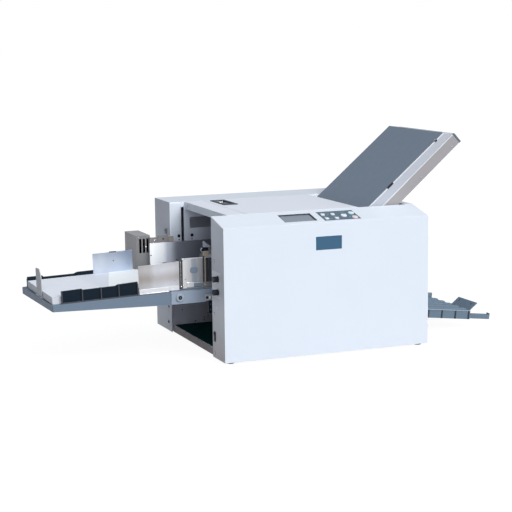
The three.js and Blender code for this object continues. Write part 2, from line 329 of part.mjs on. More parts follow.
// the fence along the back starts clear of the cover, so the tray can fold up
const fence = [[TY1 - 6, 4], [TY1, 4], [TY1, 17], [TY1 - 2, 21], [TY1 - 5, 21], [TY1 - 6, 17]];
let tr = join(alongX(section, 6, TU1), alongX(fence, 42, TU1),
  ...[38, 86, 134, 182.5, 230.5].map((u) => box(u - 2, u + 2, TY0 - 2, TY0 + 1, -22, 4)),
  box(-4.5, 8, 171, 176, -4, 3), box(-4.5, 8, 410.6, 416, -4, 3),
  box(6, 9, 176, 410.6, -8, 4), box(TU1 - 3, TU1, 190, TY1 - 2, -8, 4),
  box(TU1 - 2, TU1 + 4, 190.4, 198, -3, 2.4), box(TU1 - 2, TU1 + 4, 264, 280, -3, 2.4),
  cylY(0, 0, 4, 171, 177, 14), cylY(0, 0, 4, 410, 416, 14));
tr = join(tr, cylY(0, 0, 2.2, 165.5, 172, 12), cylY(0, 0, 2.2, 415, 421.5, 12), cylY(TU1 + 4, 0, 1.6, 184, 205, 10), cylY(TU1 + 4, 0, 1.6, 261, 283, 10));
piece('delivery_tray', tr, TRAY, 0.5, 0, tray);
// stop flap on the tray's end, leaning outwards, with two holes
const stopFlap = new THREE.Group();
stopFlap.position.set(TU1 + 4, 0, 0);
stopFlap.rotation.y = -(38 * Math.PI / 180 + TRAY_TILT);
tray.add(stopFlap);
let flapS = join(box(5, 40, 181, 298, -1.2, 1.2), ...[[183, 189], [199.4, 206], [254, 260.7], [283.4, 290]].map(([a, b]) => join(box(0, 7, a, b, -1.2, 1.2), cylY(0, 0, 3.2, a, b, 12))));
flapS = cut(flapS, ...[[183, 206], [254, 290]].map(([a, b]) => cylY(0, 0, 1.9, a - 1, b + 1, 10)));
flapS = cut(flapS, cylZ(28.2, 204.5, 3, -5, 5, 14), cylZ(28.2, 280, 3, -5, 5, 14));
piece('delivery_stop_flap', flapS, 0x63758a, 0.5, 0, stopFlap);
// pull-out extension arm under the tray
piece('delivery_extension', join(box(120, 307, 166.4, 186, -10, -6), box(120, 307, 166.4, 168.4, -20, -6), box(306.6, 309.5, 166.4, 182, -20, -1), box(120, 123, 166.4, 186, -20, -6)), TRAY, 0.5, 0, tray);

root.position.set(-X_MID, -Y_MID, FOOT_H);
export default root;
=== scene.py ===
# Paper folding machine: surfaces, small fittings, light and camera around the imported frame.
# Geometry is written in design millimetres (X along the machine from the feed end, Y from the front face to the back,
# Z up from the lower edge of the covers) and goes to the frame's metres when a piece is emitted.
import json
import math
import random
import bpy
import bmesh
from mathutils import Matrix, Vector


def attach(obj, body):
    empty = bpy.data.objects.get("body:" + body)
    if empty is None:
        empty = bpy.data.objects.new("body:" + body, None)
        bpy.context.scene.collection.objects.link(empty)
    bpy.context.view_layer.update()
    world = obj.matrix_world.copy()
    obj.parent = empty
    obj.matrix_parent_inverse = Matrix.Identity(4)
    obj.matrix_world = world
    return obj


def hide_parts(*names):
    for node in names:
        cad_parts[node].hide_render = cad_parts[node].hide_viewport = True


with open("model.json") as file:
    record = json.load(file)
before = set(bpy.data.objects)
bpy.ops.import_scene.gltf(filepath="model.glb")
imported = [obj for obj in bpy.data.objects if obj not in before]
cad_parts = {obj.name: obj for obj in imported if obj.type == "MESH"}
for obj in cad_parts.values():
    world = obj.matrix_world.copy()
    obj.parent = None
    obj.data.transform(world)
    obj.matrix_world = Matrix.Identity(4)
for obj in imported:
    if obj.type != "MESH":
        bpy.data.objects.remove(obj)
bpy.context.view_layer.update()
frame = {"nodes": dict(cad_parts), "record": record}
RECORD = frame["record"]
BODY = {n: b for b, ns in RECORD["behaviour"]["bodies"].items() for n in ns}
SLOT = {s["node"]: s["material_slot"] for s in RECORD["subparts"]}
SCENE = bpy.context.scene
rad = math.radians

TO_PART = Matrix.Scale(0.001, 4) @ Matrix.Translation(Vector((-244.9, -311.5, 6.0)))
TO_MM = TO_PART.inverted()

# ------------------------------------------------------------------------------------------------ camera
cam_data = bpy.data.cameras.new("photo_camera")
cam = bpy.data.objects.new("photo_camera", cam_data)
SCENE.collection.objects.link(cam)
right = Vector((0.92821, -0.37186, -0.01191)).normalized()
back = Vector((-0.36566, -0.91770, 0.15530)).normalized()
up = back.cross(right).normalized()
right = up.cross(back).normalized()
m = Matrix.Identity(4)
for i in range(3):
    m[i][0], m[i][1], m[i][2] = right[i], up[i], back[i]
m.translation = Vector((-1.64699, -4.07555, 0.94575))
cam.matrix_world = m
cam_data.sensor_width = 36
cam_data.lens = 101.79
cam_data.clip_start, cam_data.clip_end = 0.05, 200
SCENE.camera = cam

# ------------------------------------------------------------------------------------------------ light
SCENE.view_settings.view_transform = "Standard"
SCENE.view_settings.look = "None"
SCENE.view_settings.exposure = 0.0

world = bpy.data.worlds.new("studio")
SCENE.world = world
world.use_nodes = True
nt = world.node_tree
nt.nodes.clear()
w_out = nt.nodes.new("ShaderNodeOutputWorld")
w_mix = nt.nodes.new("ShaderNodeMixShader")
w_path = nt.nodes.new("ShaderNodeLightPath")
w_seen = nt.nodes.new("ShaderNodeBackground")
w_seen.inputs["Color"].default_value = (1, 1, 1, 1)
w_seen.inputs["Strength"].default_value = 1.0
w_lit = nt.nodes.new("ShaderNodeBackground")
w_lit.inputs["Strength"].default_value = 1.0
w_tc = nt.nodes.new("ShaderNodeTexCoord")
w_dot = nt.nodes.new("ShaderNodeVectorMath")
w_dot.operation = "DOT_PRODUCT"
w_dot.inputs[1].default_value = Vector((0.42, -0.86, 0.28)).normalized()
w_ramp = nt.nodes.new("ShaderNodeValToRGB")
w_ramp.color_ramp.interpolation = "EASE"
w_map = nt.nodes.new("ShaderNodeMapRange")
w_map.inputs["From Min"].default_value = -1.0
w_map.inputs["From Max"].default_value = 1.0
nt.links.new(w_tc.outputs["Generated"], w_dot.inputs[0])
nt.links.new(w_dot.outputs["Value"], w_map.inputs["Value"])
nt.links.new(w_map.outputs["Result"], w_ramp.inputs["Fac"])
nt.links.new(w_ramp.outputs["Color"], w_lit.inputs["Color"])
nt.links.new(w_path.outputs["Is Camera Ray"], w_mix.inputs["Fac"])
nt.links.new(w_lit.outputs[0], w_mix.inputs[1])
nt.links.new(w_seen.outputs[0], w_mix.inputs[2])
nt.links.new(w_mix.outputs[0], w_out.inputs["Surface"])
el = w_ramp.color_ramp.elements
el[0].position, el[0].color = 0.30, (0.30, 0.31, 0.33, 1)
el[1].position, el[1].color = 0.95, (1.02, 1.05, 1.10, 1)

sun_data = bpy.data.lights.new("key", "SUN")
sun = bpy.data.objects.new("key", sun_data)
SCENE.collection.objects.link(sun)
sun.rotation_euler = Vector((0.30, -0.78, 0.55)).to_track_quat("Z", "Y").to_euler()
sun_data.energy = 1.45
sun_data.angle = rad(28)
sun_data.color = (1.0, 1.0, 1.0)

# ------------------------------------------------------------------------------------------------ floor
def floor_material():
    mat = bpy.data.materials.new("studio_floor")
    mat.use_nodes = True
    t = mat.node_tree
    t.nodes.clear()
    out = t.nodes.new("ShaderNodeOutputMaterial")
    mix = t.nodes.new("ShaderNodeMixShader")
    shiny = t.nodes.new("ShaderNodeMixShader")
    path = t.nodes.new("ShaderNodeLightPath")
    seen = t.nodes.new("ShaderNodeAddShader")
    d1 = t.nodes.new("ShaderNodeBsdfDiffuse")
    d1.inputs["Color"].default_value = (0.10, 0.10, 0.10, 1)
    e1 = t.nodes.new("ShaderNodeEmission")
    e1.inputs["Color"].default_value = (1, 1, 1, 1)
    e1.inputs["Strength"].default_value = 0.95
    d2 = t.nodes.new("ShaderNodeBsdfDiffuse")
    d2.inputs["Color"].default_value = (0.36, 0.36, 0.37, 1)
    e2 = t.nodes.new("ShaderNodeEmission")
    e2.inputs["Color"].default_value = (0.80, 0.82, 0.85, 1)
    e2.inputs["Strength"].default_value = 0.80
    t.links.new(d1.outputs[0], seen.inputs[0])
    t.links.new(e1.outputs[0], seen.inputs[1])
    t.links.new(path.outputs["Is Glossy Ray"], shiny.inputs["Fac"])
    t.links.new(d2.outputs[0], shiny.inputs[1])
    t.links.new(e2.outputs[0], shiny.inputs[2])
    t.links.new(path.outputs["Is Camera Ray"], mix.inputs["Fac"])
    t.links.new(shiny.outputs[0], mix.inputs[1])
    t.links.new(seen.outputs[0], mix.inputs[2])
    t.links.new(mix.outputs[0], out.inputs["Surface"])
    return mat

fm = bpy.data.meshes.new("studio_floor")
fm.from_pydata([(-60, -60, 0), (60, -60, 0), (60, 60, 0), (-60, 60, 0)], [], [(0, 1, 2, 3)])
fm.materials.append(floor_material())
floor = bpy.data.objects.new("studio_floor", fm)
SCENE.collection.objects.link(floor)

# ------------------------------------------------------------------------------------------------ materials
def lin(c):
    return c / 12.92 if c <= 0.04045 else ((c + 0.055) / 1.055) ** 2.4

def srgb(r, g, b):
    return tuple(lin(v / 255) for v in (r, g, b))

MAT = {}

def surface(name, col, rough=0.45, metal=0.0, spec=0.5, blotch=0.03, blotch_scale=7, grain=0.02, grain_scale=900,
            bump=0.12, bump_scale=1200, bump_mm=0.05, rough_var=0.06, streak=None, wave=None, coat=0.0, coat_rough=0.2,
            aniso=0.0, painted_light_grad=None, specks=None, lines=None, ior=1.5, rot=(0, 0, 0)):
    """A Principled surface whose colour, roughness and relief come from layered noise in the piece's own coordinates;
    painted_light_grad multiplies painted light and shade into the colour along an axis.
    """
    mat = bpy.data.materials.new(name)
    mat.use_nodes = True
    t = mat.node_tree
    t.nodes.clear()
    N = t.nodes.new
    L = t.links.new
    out = N("ShaderNodeOutputMaterial")
    b = N("ShaderNodeBsdfPrincipled")
    L(b.outputs[0], out.inputs["Surface"])
    b.inputs["Metallic"].default_value = metal
    b.inputs["Specular IOR Level"].default_value = spec
    b.inputs["IOR"].default_value = ior
    b.inputs["Coat Weight"].default_value = coat
    b.inputs["Coat Roughness"].default_value = coat_rough
    b.inputs["Anisotropic"].default_value = aniso
    tc = N("ShaderNodeTexCoord")
    mp = N("ShaderNodeMapping")
    mp.inputs["Rotation"].default_value = rot
    L(tc.outputs["Object"], mp.inputs["Vector"])
    src = mp.outputs["Vector"]

    def noise_at(scale, detail=3.0, roughness=0.55, stretch=None):
        n = N("ShaderNodeTexNoise")
        n.inputs["Scale"].default_value = scale
        n.inputs["Detail"].default_value = detail
        n.inputs["Roughness"].default_value = roughness
        if stretch:
            s = N("ShaderNodeMapping")
            s.inputs["Scale"].default_value = stretch
            L(src, s.inputs["Vector"])
            L(s.outputs["Vector"], n.inputs["Vector"])
        else:
            L(src, n.inputs["Vector"])
        return n.outputs["Fac"]

    def ramp(fac, lo, hi, c0, c1):
        r = N("ShaderNodeValToRGB")
        r.color_ramp.elements[0].position = lo
        r.color_ramp.elements[1].position = hi
        r.color_ramp.elements[0].color = (*c0, 1)
        r.color_ramp.elements[1].color = (*c1, 1)
        L(fac, r.inputs["Fac"])
        return r.outputs["Color"]

    def mix(kind, fac, a, c):
        x = N("ShaderNodeMix")
        x.data_type = "RGBA"
        x.blend_type = kind
        if isinstance(fac, float):
            x.inputs[0].default_value = fac
        else:
            L(fac, x.inputs[0])
        L(a, x.inputs[6])
        if isinstance(c, tuple):
            x.inputs[7].default_value = (*c, 1)
        else:
            L(c, x.inputs[7])
        return x.outputs[2]

    lo = tuple(max(0.0, v * (1 - blotch)) for v in col)
    hi = tuple(min(1.0, v * (1 + blotch)) for v in col)
    color = ramp(noise_at(blotch_scale, 4.0), 0.3, 0.7, lo, hi)
    if grain:
        g = ramp(noise_at(grain_scale, 2.0), 0.3, 0.7, (1 - grain,) * 3, (1.0, 1.0, 1.0))
        color = mix("MULTIPLY", 1.0, color, g)
    if streak:
        stretch, amount = streak
        s = ramp(noise_at(1.0, 3.0, 0.7, stretch), 0.25, 0.75, (1 - amount,) * 3, (1.0, 1.0, 1.0))
        color = mix("MULTIPLY", 1.0, color, s)
    if lines:
        # fine parallel lines across an axis, such as the edges of sheets
        stretch, dark, width = lines
        s = ramp(noise_at(1.0, 2.0, 0.8, stretch), 0.5 - width, 0.5 + width, dark, (1.0, 1.0, 1.0))
        color = mix("MULTIPLY", 1.0, color, s)
    if specks:
        scale, size, tint = specks
        v = N("ShaderNodeTexVoronoi")
        v.inputs["Scale"].default_value = scale
        L(src, v.inputs["Vector"])
        f = ramp(v.outputs["Distance"], size * 0.5, size, (1, 1, 1), (0, 0, 0))
        color = mix("MIX", f, color, tint)
    for axis, stops in (painted_light_grad or ()):
        # painted light and shade along an axis, at places given in design mm: the tone stands for the shading and
        # reflections seen at one view
        k = "XYZ".index(axis)
        off = (-244.9, -311.5, 6.0)[k]
        a0, a1 = stops[0][0], stops[-1][0]
        xyz = N("ShaderNodeSeparateXYZ")
        L(tc.outputs["Object"], xyz.inputs[0])
        wob = N("ShaderNodeMath")
        wob.operation = "MULTIPLY_ADD"
        L(noise_at(11, 2.0), wob.inputs[0])
        wob.inputs[1].default_value = 0.016
        L(xyz.outputs[k], wob.inputs[2])
        mr = N("ShaderNodeMapRange")
        mr.inputs["From Min"].default_value = (a0 + off) / 1000 + 0.008
        mr.inputs["From Max"].default_value = (a1 + off) / 1000 + 0.008
        L(wob.outputs[0], mr.inputs["Value"])
        gr = N("ShaderNodeValToRGB")
        gr.color_ramp.interpolation = "EASE"
        while len(gr.color_ramp.elements) < len(stops):
            gr.color_ramp.elements.new(0.5)
        for e_, (q, cc) in zip(gr.color_ramp.elements, stops):
            e_.position = (q - a0) / (a1 - a0)
        for e_, (q, cc) in zip(gr.color_ramp.elements, stops):
            e_.color = (*cc, 1)
        L(mr.outputs["Result"], gr.inputs["Fac"])
        color = mix("MULTIPLY", 1.0, color, gr.outputs["Color"])
    L(color, b.inputs["Base Color"])
    # roughness varies in soft patches, and along the brushing where there is any
    rm = N("ShaderNodeMapRange")
    rm.inputs["From Min"].default_value = 0.3
    rm.inputs["From Max"].default_value = 0.7
    rm.inputs["To Min"].default_value = max(0.03, rough - rough_var)
    rm.inputs["To Max"].default_value = min(1.0, rough + rough_var)
    L(noise_at(1.0, 3.0, 0.7, streak[0]) if streak else noise_at(60, 4.0), rm.inputs["Value"])
    L(rm.outputs["Result"], b.inputs["Roughness"])
    # relief
    normal = None
    if wave:
        w = N("ShaderNodeBump")
        w.inputs["Strength"].default_value = 1.0
        w.inputs["Distance"].default_value = wave[1] / 1000
        L(noise_at(wave[0], 1.0, 0.4), w.inputs["Height"])
        normal = w.outputs["Normal"]
    if bump:
        bp = N("ShaderNodeBump")
        bp.inputs["Strength"].default_value = bump
        bp.inputs["Distance"].default_value = bump_mm / 1000
        if streak:
            L(noise_at(1.0, 2.0, 0.6, tuple(v * 1.0 for v in streak[0])), bp.inputs["Height"])
        else:
            L(noise_at(bump_scale, 2.0, 0.6), bp.inputs["Height"])
        if normal is not None:
            L(normal, bp.inputs["Normal"])
        normal = bp.outputs["Normal"]
    if normal is not None:
        L(normal, b.inputs["Normal"])
    MAT[name] = mat
    return mat

WHITE = (0.775, 0.825, 0.910)
surface("cover_paint", (0.79, 0.85, 0.93), 0.42, blotch=0.010, grain=0.012, grain_scale=1500, bump=0.10, bump_scale=1400, bump_mm=0.03)
# painted highlight: a lighter white for the front cover's large rounded edges
surface("cover_edge_painted_highlight", (0.93, 0.97, 1.0), 0.36, blotch=0.008, grain=0.010, grain_scale=1500, bump=0.06, bump_scale=1400, bump_mm=0.03)
# painted shade: the feed-end faces take a darker copy of the cover white, toned along Z (warmer and darker at the foot,
# lighter near Z 110)
surface("end_paint", (0.655, 0.685, 0.745), 0.42, blotch=0.010, grain=0.012, grain_scale=1500, bump=0.10, bump_scale=1400, bump_mm=0.03,
        painted_light_grad=(("Z", ((20, (1.00, 0.91, 0.87)), (110, (1.07, 1.06, 1.03)), (250, (0.95, 0.95, 0.95)), (400, (0.94, 0.98, 0.98)))),))
surface("lid_paint", (0.87, 0.915, 0.99), 0.46, blotch=0.012, grain=0.012, grain_scale=1500, bump=0.10, bump_scale=1400, bump_mm=0.03)
# painted shade and light: the rear cover's end face takes a darker copy of the white, lifted up to 1.5 times near the
# bottom and darker towards the top
surface("rear_end_painted_shade", (0.60, 0.615, 0.64), 0.46, blotch=0.012, grain=0.012, grain_scale=1500, bump=0.10, bump_scale=1400, bump_mm=0.03,
        painted_light_grad=(("Z", ((40, (1.50, 1.54, 1.62)), (190, (1.42, 1.46, 1.54)), (290, (1.06, 1.12, 1.2)), (330, (0.94, 0.99, 1.06)), (400, (0.86, 0.88, 0.96)))),))
# painted shade: the strip's white is darker low down along Z
surface("strip_paint", (0.80, 0.86, 0.93), 0.42, blotch=0.012, grain=0.012, grain_scale=1500, bump=0.08, bump_scale=1400, bump_mm=0.03,
        painted_light_grad=(("Z", ((20, (0.9, 0.9, 0.92)), (250, (0.88, 0.9, 0.93)), (400, (1.0, 1.0, 1.0)))),))
# painted highlight: a lighter white for rounded edges and thin edge strips
surface("edge_painted_highlight", (0.84, 0.88, 0.94), 0.4, blotch=0.010, grain=0.01, grain_scale=1500, bump=0.06, bump_scale=1400, bump_mm=0.03)
# painted light and shade: the frame grey is lighter near X 37 to 75 and from X 450 on, darker between, darker low down
# and lighter up high
surface("frame_paint", (0.62, 0.63, 0.66), 0.5, blotch=0.04, grain=0.03, bump=0.15, bump_scale=900,
        painted_light_grad=(("Z", ((20, (0.86, 0.84, 0.92)), (160, (0.86, 0.84, 0.92)), (290, (1.0, 1.04, 1.12)), (350, (1.12, 1.16, 1.22)))),
              ("X", ((37, (1.35, 1.35, 1.35)), (75, (1.12, 1.12, 1.12)), (135, (0.72, 0.72, 0.74)), (400, (0.72, 0.72, 0.74)), (450, (1.5, 1.48, 1.42)), (640, (1.5, 1.48, 1.42))))))
surface("end_wall_paint", (0.27, 0.235, 0.24), 0.5, blotch=0.05, grain=0.04, bump=0.15, bump_scale=900)
surface("lip_light", (0.66, 0.67, 0.70), 0.45, blotch=0.03, grain=0.03, bump=0.1, bump_scale=900)
surface("pan_dark", (0.010, 0.060, 0.060), 0.5, spec=0.0, blotch=0.15, grain=0.2, bump=0.2, bump_scale=500)
surface("rubber", (0.016, 0.016, 0.017), 0.82, spec=0.3, blotch=0.15, grain=0.2, bump=0.3, bump_scale=900)
surface("table_paint", (0.170, 0.228, 0.305), 0.45, blotch=0.02, grain=0.03, bump=0.12, bump_scale=1100)
surface("arm_paint", (0.335, 0.405, 0.50), 0.45, blotch=0.02, grain=0.03, bump=0.12, bump_scale=1100)
# lighter blue-grey: the hinge caps' and pivot boss's own colour, and a painted highlight on the tables' rounded edges
surface("table_trim_and_painted_highlight", (0.38, 0.45, 0.53), 0.4, blotch=0.02, grain=0.03, bump=0.08, bump_scale=1100)
surface("black_plastic", (0.004, 0.014, 0.027), 0.34, spec=0.18, blotch=0.10, grain=0.10, bump=0.15, bump_scale=1600, bump_mm=0.03)
# painted highlights on the black plastic: a lighter grey for rounded edges and for the rib fronts
surface("black_edge_painted_highlight", (0.16, 0.17, 0.19), 0.35, blotch=0.05, grain=0.05, bump=0.1, bump_scale=1600)
surface("rib_front_painted_highlight", (0.065, 0.07, 0.08), 0.4, blotch=0.05, grain=0.05, bump=0.1, bump_scale=1500)
surface("latch_plate", (0.15, 0.155, 0.17), 0.4, blotch=0.04, grain=0.05, bump=0.1, bump_scale=1500)
surface("grey_plastic", (0.50, 0.52, 0.55), 0.5, blotch=0.03, grain=0.04, bump=0.2, bump_scale=1500)
surface("guide_steel", (0.80, 0.795, 0.79), 0.30, metal=1.0, blotch=0.05, blotch_scale=14, grain=0.0, rough_var=0.06, bump=0.0, wave=(8, 0.5))
# painted reflection: the flap steel is lighter across X -156 to -108, bright in a band at its lower edge and darker
# near Z 236
surface("flap_steel", (0.66, 0.655, 0.66), 0.32, metal=1.0, blotch=0.05, blotch_scale=16, grain=0.0, rough_var=0.05, bump=0.0, wave=(8, 0.5),
        painted_light_grad=(("X", ((-212, (0.88, 0.84, 0.83)), (-180, (0.93, 0.91, 0.89)), (-156, (1.17, 1.18, 1.22)), (-130, (1.19, 1.20, 1.24)), (-108, (1.12, 1.11, 1.16)), (-88, (0.98, 0.98, 1.0)))),
              ("Z", ((204, (1.30, 1.34, 1.40)), (216, (1.08, 1.08, 1.11)), (236, (0.86, 0.82, 0.78)), (262, (1.10, 1.10, 1.11)), (282, (0.98, 0.97, 0.96))))))
# painted reflection: a lighter, half-metal steel for lips and bands, standing for the bright reflection along them
surface("lip_steel_painted_reflection", (0.90, 0.91, 0.93), 0.34, metal=0.6, blotch=0.03, grain=0.0, bump=0.04, bump_scale=700, bump_mm=0.02)
# painted reflection and shade: bright at the left end outside the machine, a bluish dip near X -40, and dark from X 0
# on inside the machine
surface("inner_steel", (0.86, 0.86, 0.86), 0.32, metal=1.0, blotch=0.04, blotch_scale=16, grain=0.0, rough_var=0.05, bump=0.0, wave=(8, 0.4),
        painted_light_grad=(("X", ((-75, (1.14, 1.13, 1.12)), (-51, (1.04, 1.03, 1.02)), (-46, (0.72, 0.78, 0.86)), (-36, (0.66, 0.73, 0.82)), (-31, (0.86, 0.86, 0.86)), (-14, (0.82, 0.82, 0.82)), (0, (0.28, 0.28, 0.31)), (44, (0.2, 0.2, 0.22)))),))
# painted reflection and shade: the rear outer plate is toned across X and darker towards its top
surface("rear_steel_outer", (0.80, 0.86, 0.94), 0.34, metal=0.85, blotch=0.03, blotch_scale=12, grain=0.0, rough_var=0.05, bump=0.0, wave=(6, 0.4),
        painted_light_grad=(("X", ((-255, (0.88, 0.88, 0.91)), (-236, (0.90, 0.90, 0.92)), (-214, (0.82, 0.83, 0.88)), (-181, (0.86, 0.89, 0.97)), (-147, (0.78, 0.84, 0.95)), (-120, (0.84, 0.88, 0.95)))),
              ("Z", ((200, (1.04, 1.04, 1.04)), (240, (1.06, 1.06, 1.05)), (276, (0.88, 0.89, 0.92))))))
# painted light and shade: the near-white plate is lifted above full white at its left end and falls to dark inside the
# machine
surface("rear_steel_inner", (0.96, 0.97, 0.98), 0.36, metal=0.15, blotch=0.02, blotch_scale=12, grain=0.0, rough_var=0.05, bump=0.0, wave=(6, 0.4),
        painted_light_grad=(("X", ((-74, (1.6, 1.6, 1.55)), (-32, (1.45, 1.45, 1.45)), (-12, (0.85, 0.87, 0.95)), (20, (0.27, 0.28, 0.32)), (126, (0.15, 0.16, 0.19)))),))
surface("post_dark", (0.045, 0.045, 0.048), 0.4, blotch=0.06, grain=0.05, bump=0.08, bump_scale=900)
surface("blob_blue", (0.30, 0.37, 0.46), 0.4, metal=0.5, blotch=0.06, grain=0.0, bump=0.0)
surface("dark_steel", (0.16, 0.155, 0.15), 0.38, metal=1.0, blotch=0.1, bump=0.06, bump_mm=0.02)
surface("bright_steel", (0.86, 0.86, 0.86), 0.25, metal=1.0, blotch=0.05, rough_var=0.08, bump=0.05, bump_scale=500)
surface("brass", (0.86, 0.76, 0.60), 0.30, metal=1.0, blotch=0.05, bump=0.05, bump_scale=500)
surface("tan_plastic", (0.47, 0.385, 0.29), 0.5, blotch=0.06, grain=0.06, bump=0.2, bump_scale=900)
surface("brown_steel", (0.30, 0.285, 0.285), 0.42, blotch=0.06, grain=0.06, bump=0.12, bump_scale=900)
surface("taupe", (0.40, 0.355, 0.305), 0.5, blotch=0.06, grain=0.06, bump=0.2, bump_scale=900)
surface("paper_bright", (0.945, 0.985, 1.0), 0.85, spec=0.25, blotch=0.004, grain=0.010, grain_scale=700, bump=0.12, bump_scale=700, bump_mm=0.04)
# painted shade: the stack's top is toned darker from X -285 towards the right
surface("paper_top", (0.93, 0.955, 1.0), 0.85, spec=0.25, blotch=0.006, grain=0.012, grain_scale=700, bump=0.12, bump_scale=700, bump_mm=0.04,
        painted_light_grad=(("X", ((-470, (0.86, 0.875, 0.90)), (-330, (0.87, 0.885, 0.91)), (-285, (0.80, 0.82, 0.87)), (-120, (0.83, 0.85, 0.89)))),))
surface("paper_edge", (0.80, 0.82, 0.86), 0.9, spec=0.2, blotch=0.02, grain=0.02, grain_scale=500,
        lines=((3, 3, 2600), (0.74, 0.75, 0.78), 0.16), bump=0.2, bump_scale=700, bump_mm=0.08, rot=(0, rad(1.76), 0))
surface("display_glass", (0.265, 0.305, 0.365), 0.22, blotch=0.03, blotch_scale=25, grain=0.03, grain_scale=2500, bump=0.02, bump_scale=600, coat=0.4, coat_rough=0.12)
surface("bezel_black", (0.035, 0.035, 0.042), 0.35, blotch=0.06, grain=0.1, bump=0.1, bump_scale=1400)
surface("keypad_film", (0.092, 0.158, 0.215), 0.38, blotch=0.03, grain=0.04, bump=0.1, bump_scale=1600, coat=0.15, coat_rough=0.3)
surface("mark_slate", (0.040, 0.055, 0.075), 0.4, blotch=0.04, grain=0.05, bump=0.1, bump_scale=1400)
surface("key_white", (0.88, 0.90, 0.92), 0.35, blotch=0.01, grain=0.01, bump=0.06, bump_scale=1500)
surface("key_cyan", (0.70, 0.88, 0.93), 0.35, blotch=0.01, grain=0.01, bump=0.06, bump_scale=1500)
surface("key_pink", (0.90, 0.74, 0.74), 0.35, blotch=0.01, grain=0.01, bump=0.06, bump_scale=1500)
surface("mark_grey", (0.52, 0.60, 0.66), 0.5, blotch=0.02, bump=0.05)
surface("mark_dark", (0.055, 0.06, 0.07), 0.5, blotch=0.05, bump=0.05)
surface("badge_blue", (0.031, 0.117, 0.212), 0.34, blotch=0.02, grain=0.03, bump=0.05, bump_scale=1200, coat=0.3, coat_rough=0.15)
surface("knob_black", (0.011, 0.016, 0.024), 0.30, spec=0.3, blotch=0.10, grain=0.12, bump=0.15, bump_scale=1500, coat=0.15, coat_rough=0.12)
# painted shade and highlight: a darker copy of the blower grey for its front faces, and a lighter grey for its rounded
# edges
surface("blower_front_painted_shade", (0.277, 0.275, 0.275), 0.42, blotch=0.03, grain=0.04, bump=0.12, bump_scale=1000)
surface("blower_paint", (0.405, 0.405, 0.415), 0.42, blotch=0.03, grain=0.04, bump=0.12, bump_scale=1000)
surface("blower_edge_painted_highlight", (0.52, 0.51, 0.50), 0.36, blotch=0.03, grain=0.04, bump=0.1, bump_scale=1000)
surface("drum_alloy", (0.55, 0.56, 0.58), 0.34, metal=1.0, blotch=0.04, streak=((900, 6, 900), 0.12), bump=0.06, bump_mm=0.02)
surface("roller_rubber", (0.055, 0.050, 0.045), 0.7, spec=0.35, blotch=0.08, grain=0.15, bump=0.3, bump_scale=1300)
surface("gear_plastic", (0.66, 0.63, 0.56), 0.5, blotch=0.04, grain=0.05, bump=0.15, bump_scale=1000)
surface("pulley_alloy", (0.68, 0.69, 0.70), 0.3, metal=1.0, blotch=0.04, streak=((900, 9, 900), 0.1), bump=0.05, bump_mm=0.02)
surface("motor_paint", (0.03, 0.032, 0.035), 0.42, blotch=0.08, grain=0.1, bump=0.2, bump_scale=900)
surface("fan_plastic", (0.045, 0.05, 0.055), 0.5, blotch=0.08, grain=0.1, bump=0.25, bump_scale=1200)
surface("panel_slate", (0.215, 0.275, 0.350), 0.48, blotch=0.015, grain=0.03, grain_scale=1300, bump=0.15, bump_scale=1500, bump_mm=0.05)
surface("strip_light", (0.50, 0.525, 0.585), 0.42, blotch=0.015, grain=0.02, bump=0.1, bump_scale=1300)
surface("band_grey", (0.38, 0.362, 0.37), 0.45, blotch=0.02, grain=0.03, bump=0.10, bump_scale=1000)
surface("cap_slate", (0.118, 0.160, 0.205), 0.5, blotch=0.03, grain=0.04, bump=0.15, bump_scale=1400)
surface("tray_plastic", (0.145, 0.212, 0.280), 0.5, blotch=0.025, grain=0.04, bump=0.15, bump_scale=1300)
# painted highlight: a lighter blue-grey for the trays' rounded edges and the tray's top lip
surface("tray_edge_painted_highlight", (0.34, 0.42, 0.50), 0.42, blotch=0.02, grain=0.03, bump=0.1, bump_scale=1300)
surface("tray_rib", (0.022, 0.032, 0.042), 0.5, blotch=0.05, grain=0.06, bump=0.1, bump_scale=1300)
surface("decal", (0.80, 0.82, 0.86), 0.4, blotch=0.01, grain=0.01, bump=0.03)
surface("rating_plate", (0.23, 0.235, 0.27), 0.38, blotch=0.02, grain=0.02, bump=0.04)
# painted shade: near-black for the insides of holes, slots, sockets and recesses
surface("hollow_painted_shade", (0.010, 0.010, 0.012), 0.8, blotch=0.1, bump=0.1)

# ------------------------------------------------------------------------------------------------ mesh tools
def sharp_edges(bm, ang=35, min_len=0.0, convex=None, min_area=0.0):
    out = []
    for e in bm.edges:
        if len(e.link_faces) != 2:
            continue
        a = e.calc_face_angle_signed(0.0)
        if abs(a) < rad(ang):
            continue
        if convex is not None and (a > 0) != convex:
            continue
        if e.calc_length() < min_len:
            continue
        if min_area and min(f.calc_area() for f in e.link_faces) < min_area:
            continue
        out.append(e)
    return out

def bevel(bm, width, segs=2, mat=-1, **kw):
    es = sharp_edges(bm, **kw)
    if es:
        bmesh.ops.bevel(bm, geom=es, offset=width, offset_type="OFFSET", segments=segs, profile=0.5, affect="EDGES",
                        clamp_overlap=True, loop_slide=True, material=mat)
    return bm

def prism(pts, axis, a, b, bev=0.0, segs=2, ang=35):
    bm = bmesh.new()
    def P(p, h):
        return (h, p[0], p[1]) if axis == "X" else (p[0], h, p[1]) if axis == "Y" else (p[0], p[1], h)
    lo = [bm.verts.new(P(p, a)) for p in pts]
    hi = [bm.verts.new(P(p, b)) for p in pts]
    bm.faces.new(lo)
    bm.faces.new(hi[::-1])
    for i in range(len(pts)):
        j = (i + 1) % len(pts)
        bm.faces.new((lo[i], lo[j], hi[j], hi[i]))
    bmesh.ops.recalc_face_normals(bm, faces=bm.faces)
    if bev:
        bevel(bm, bev, segs, ang=ang)
    return bm

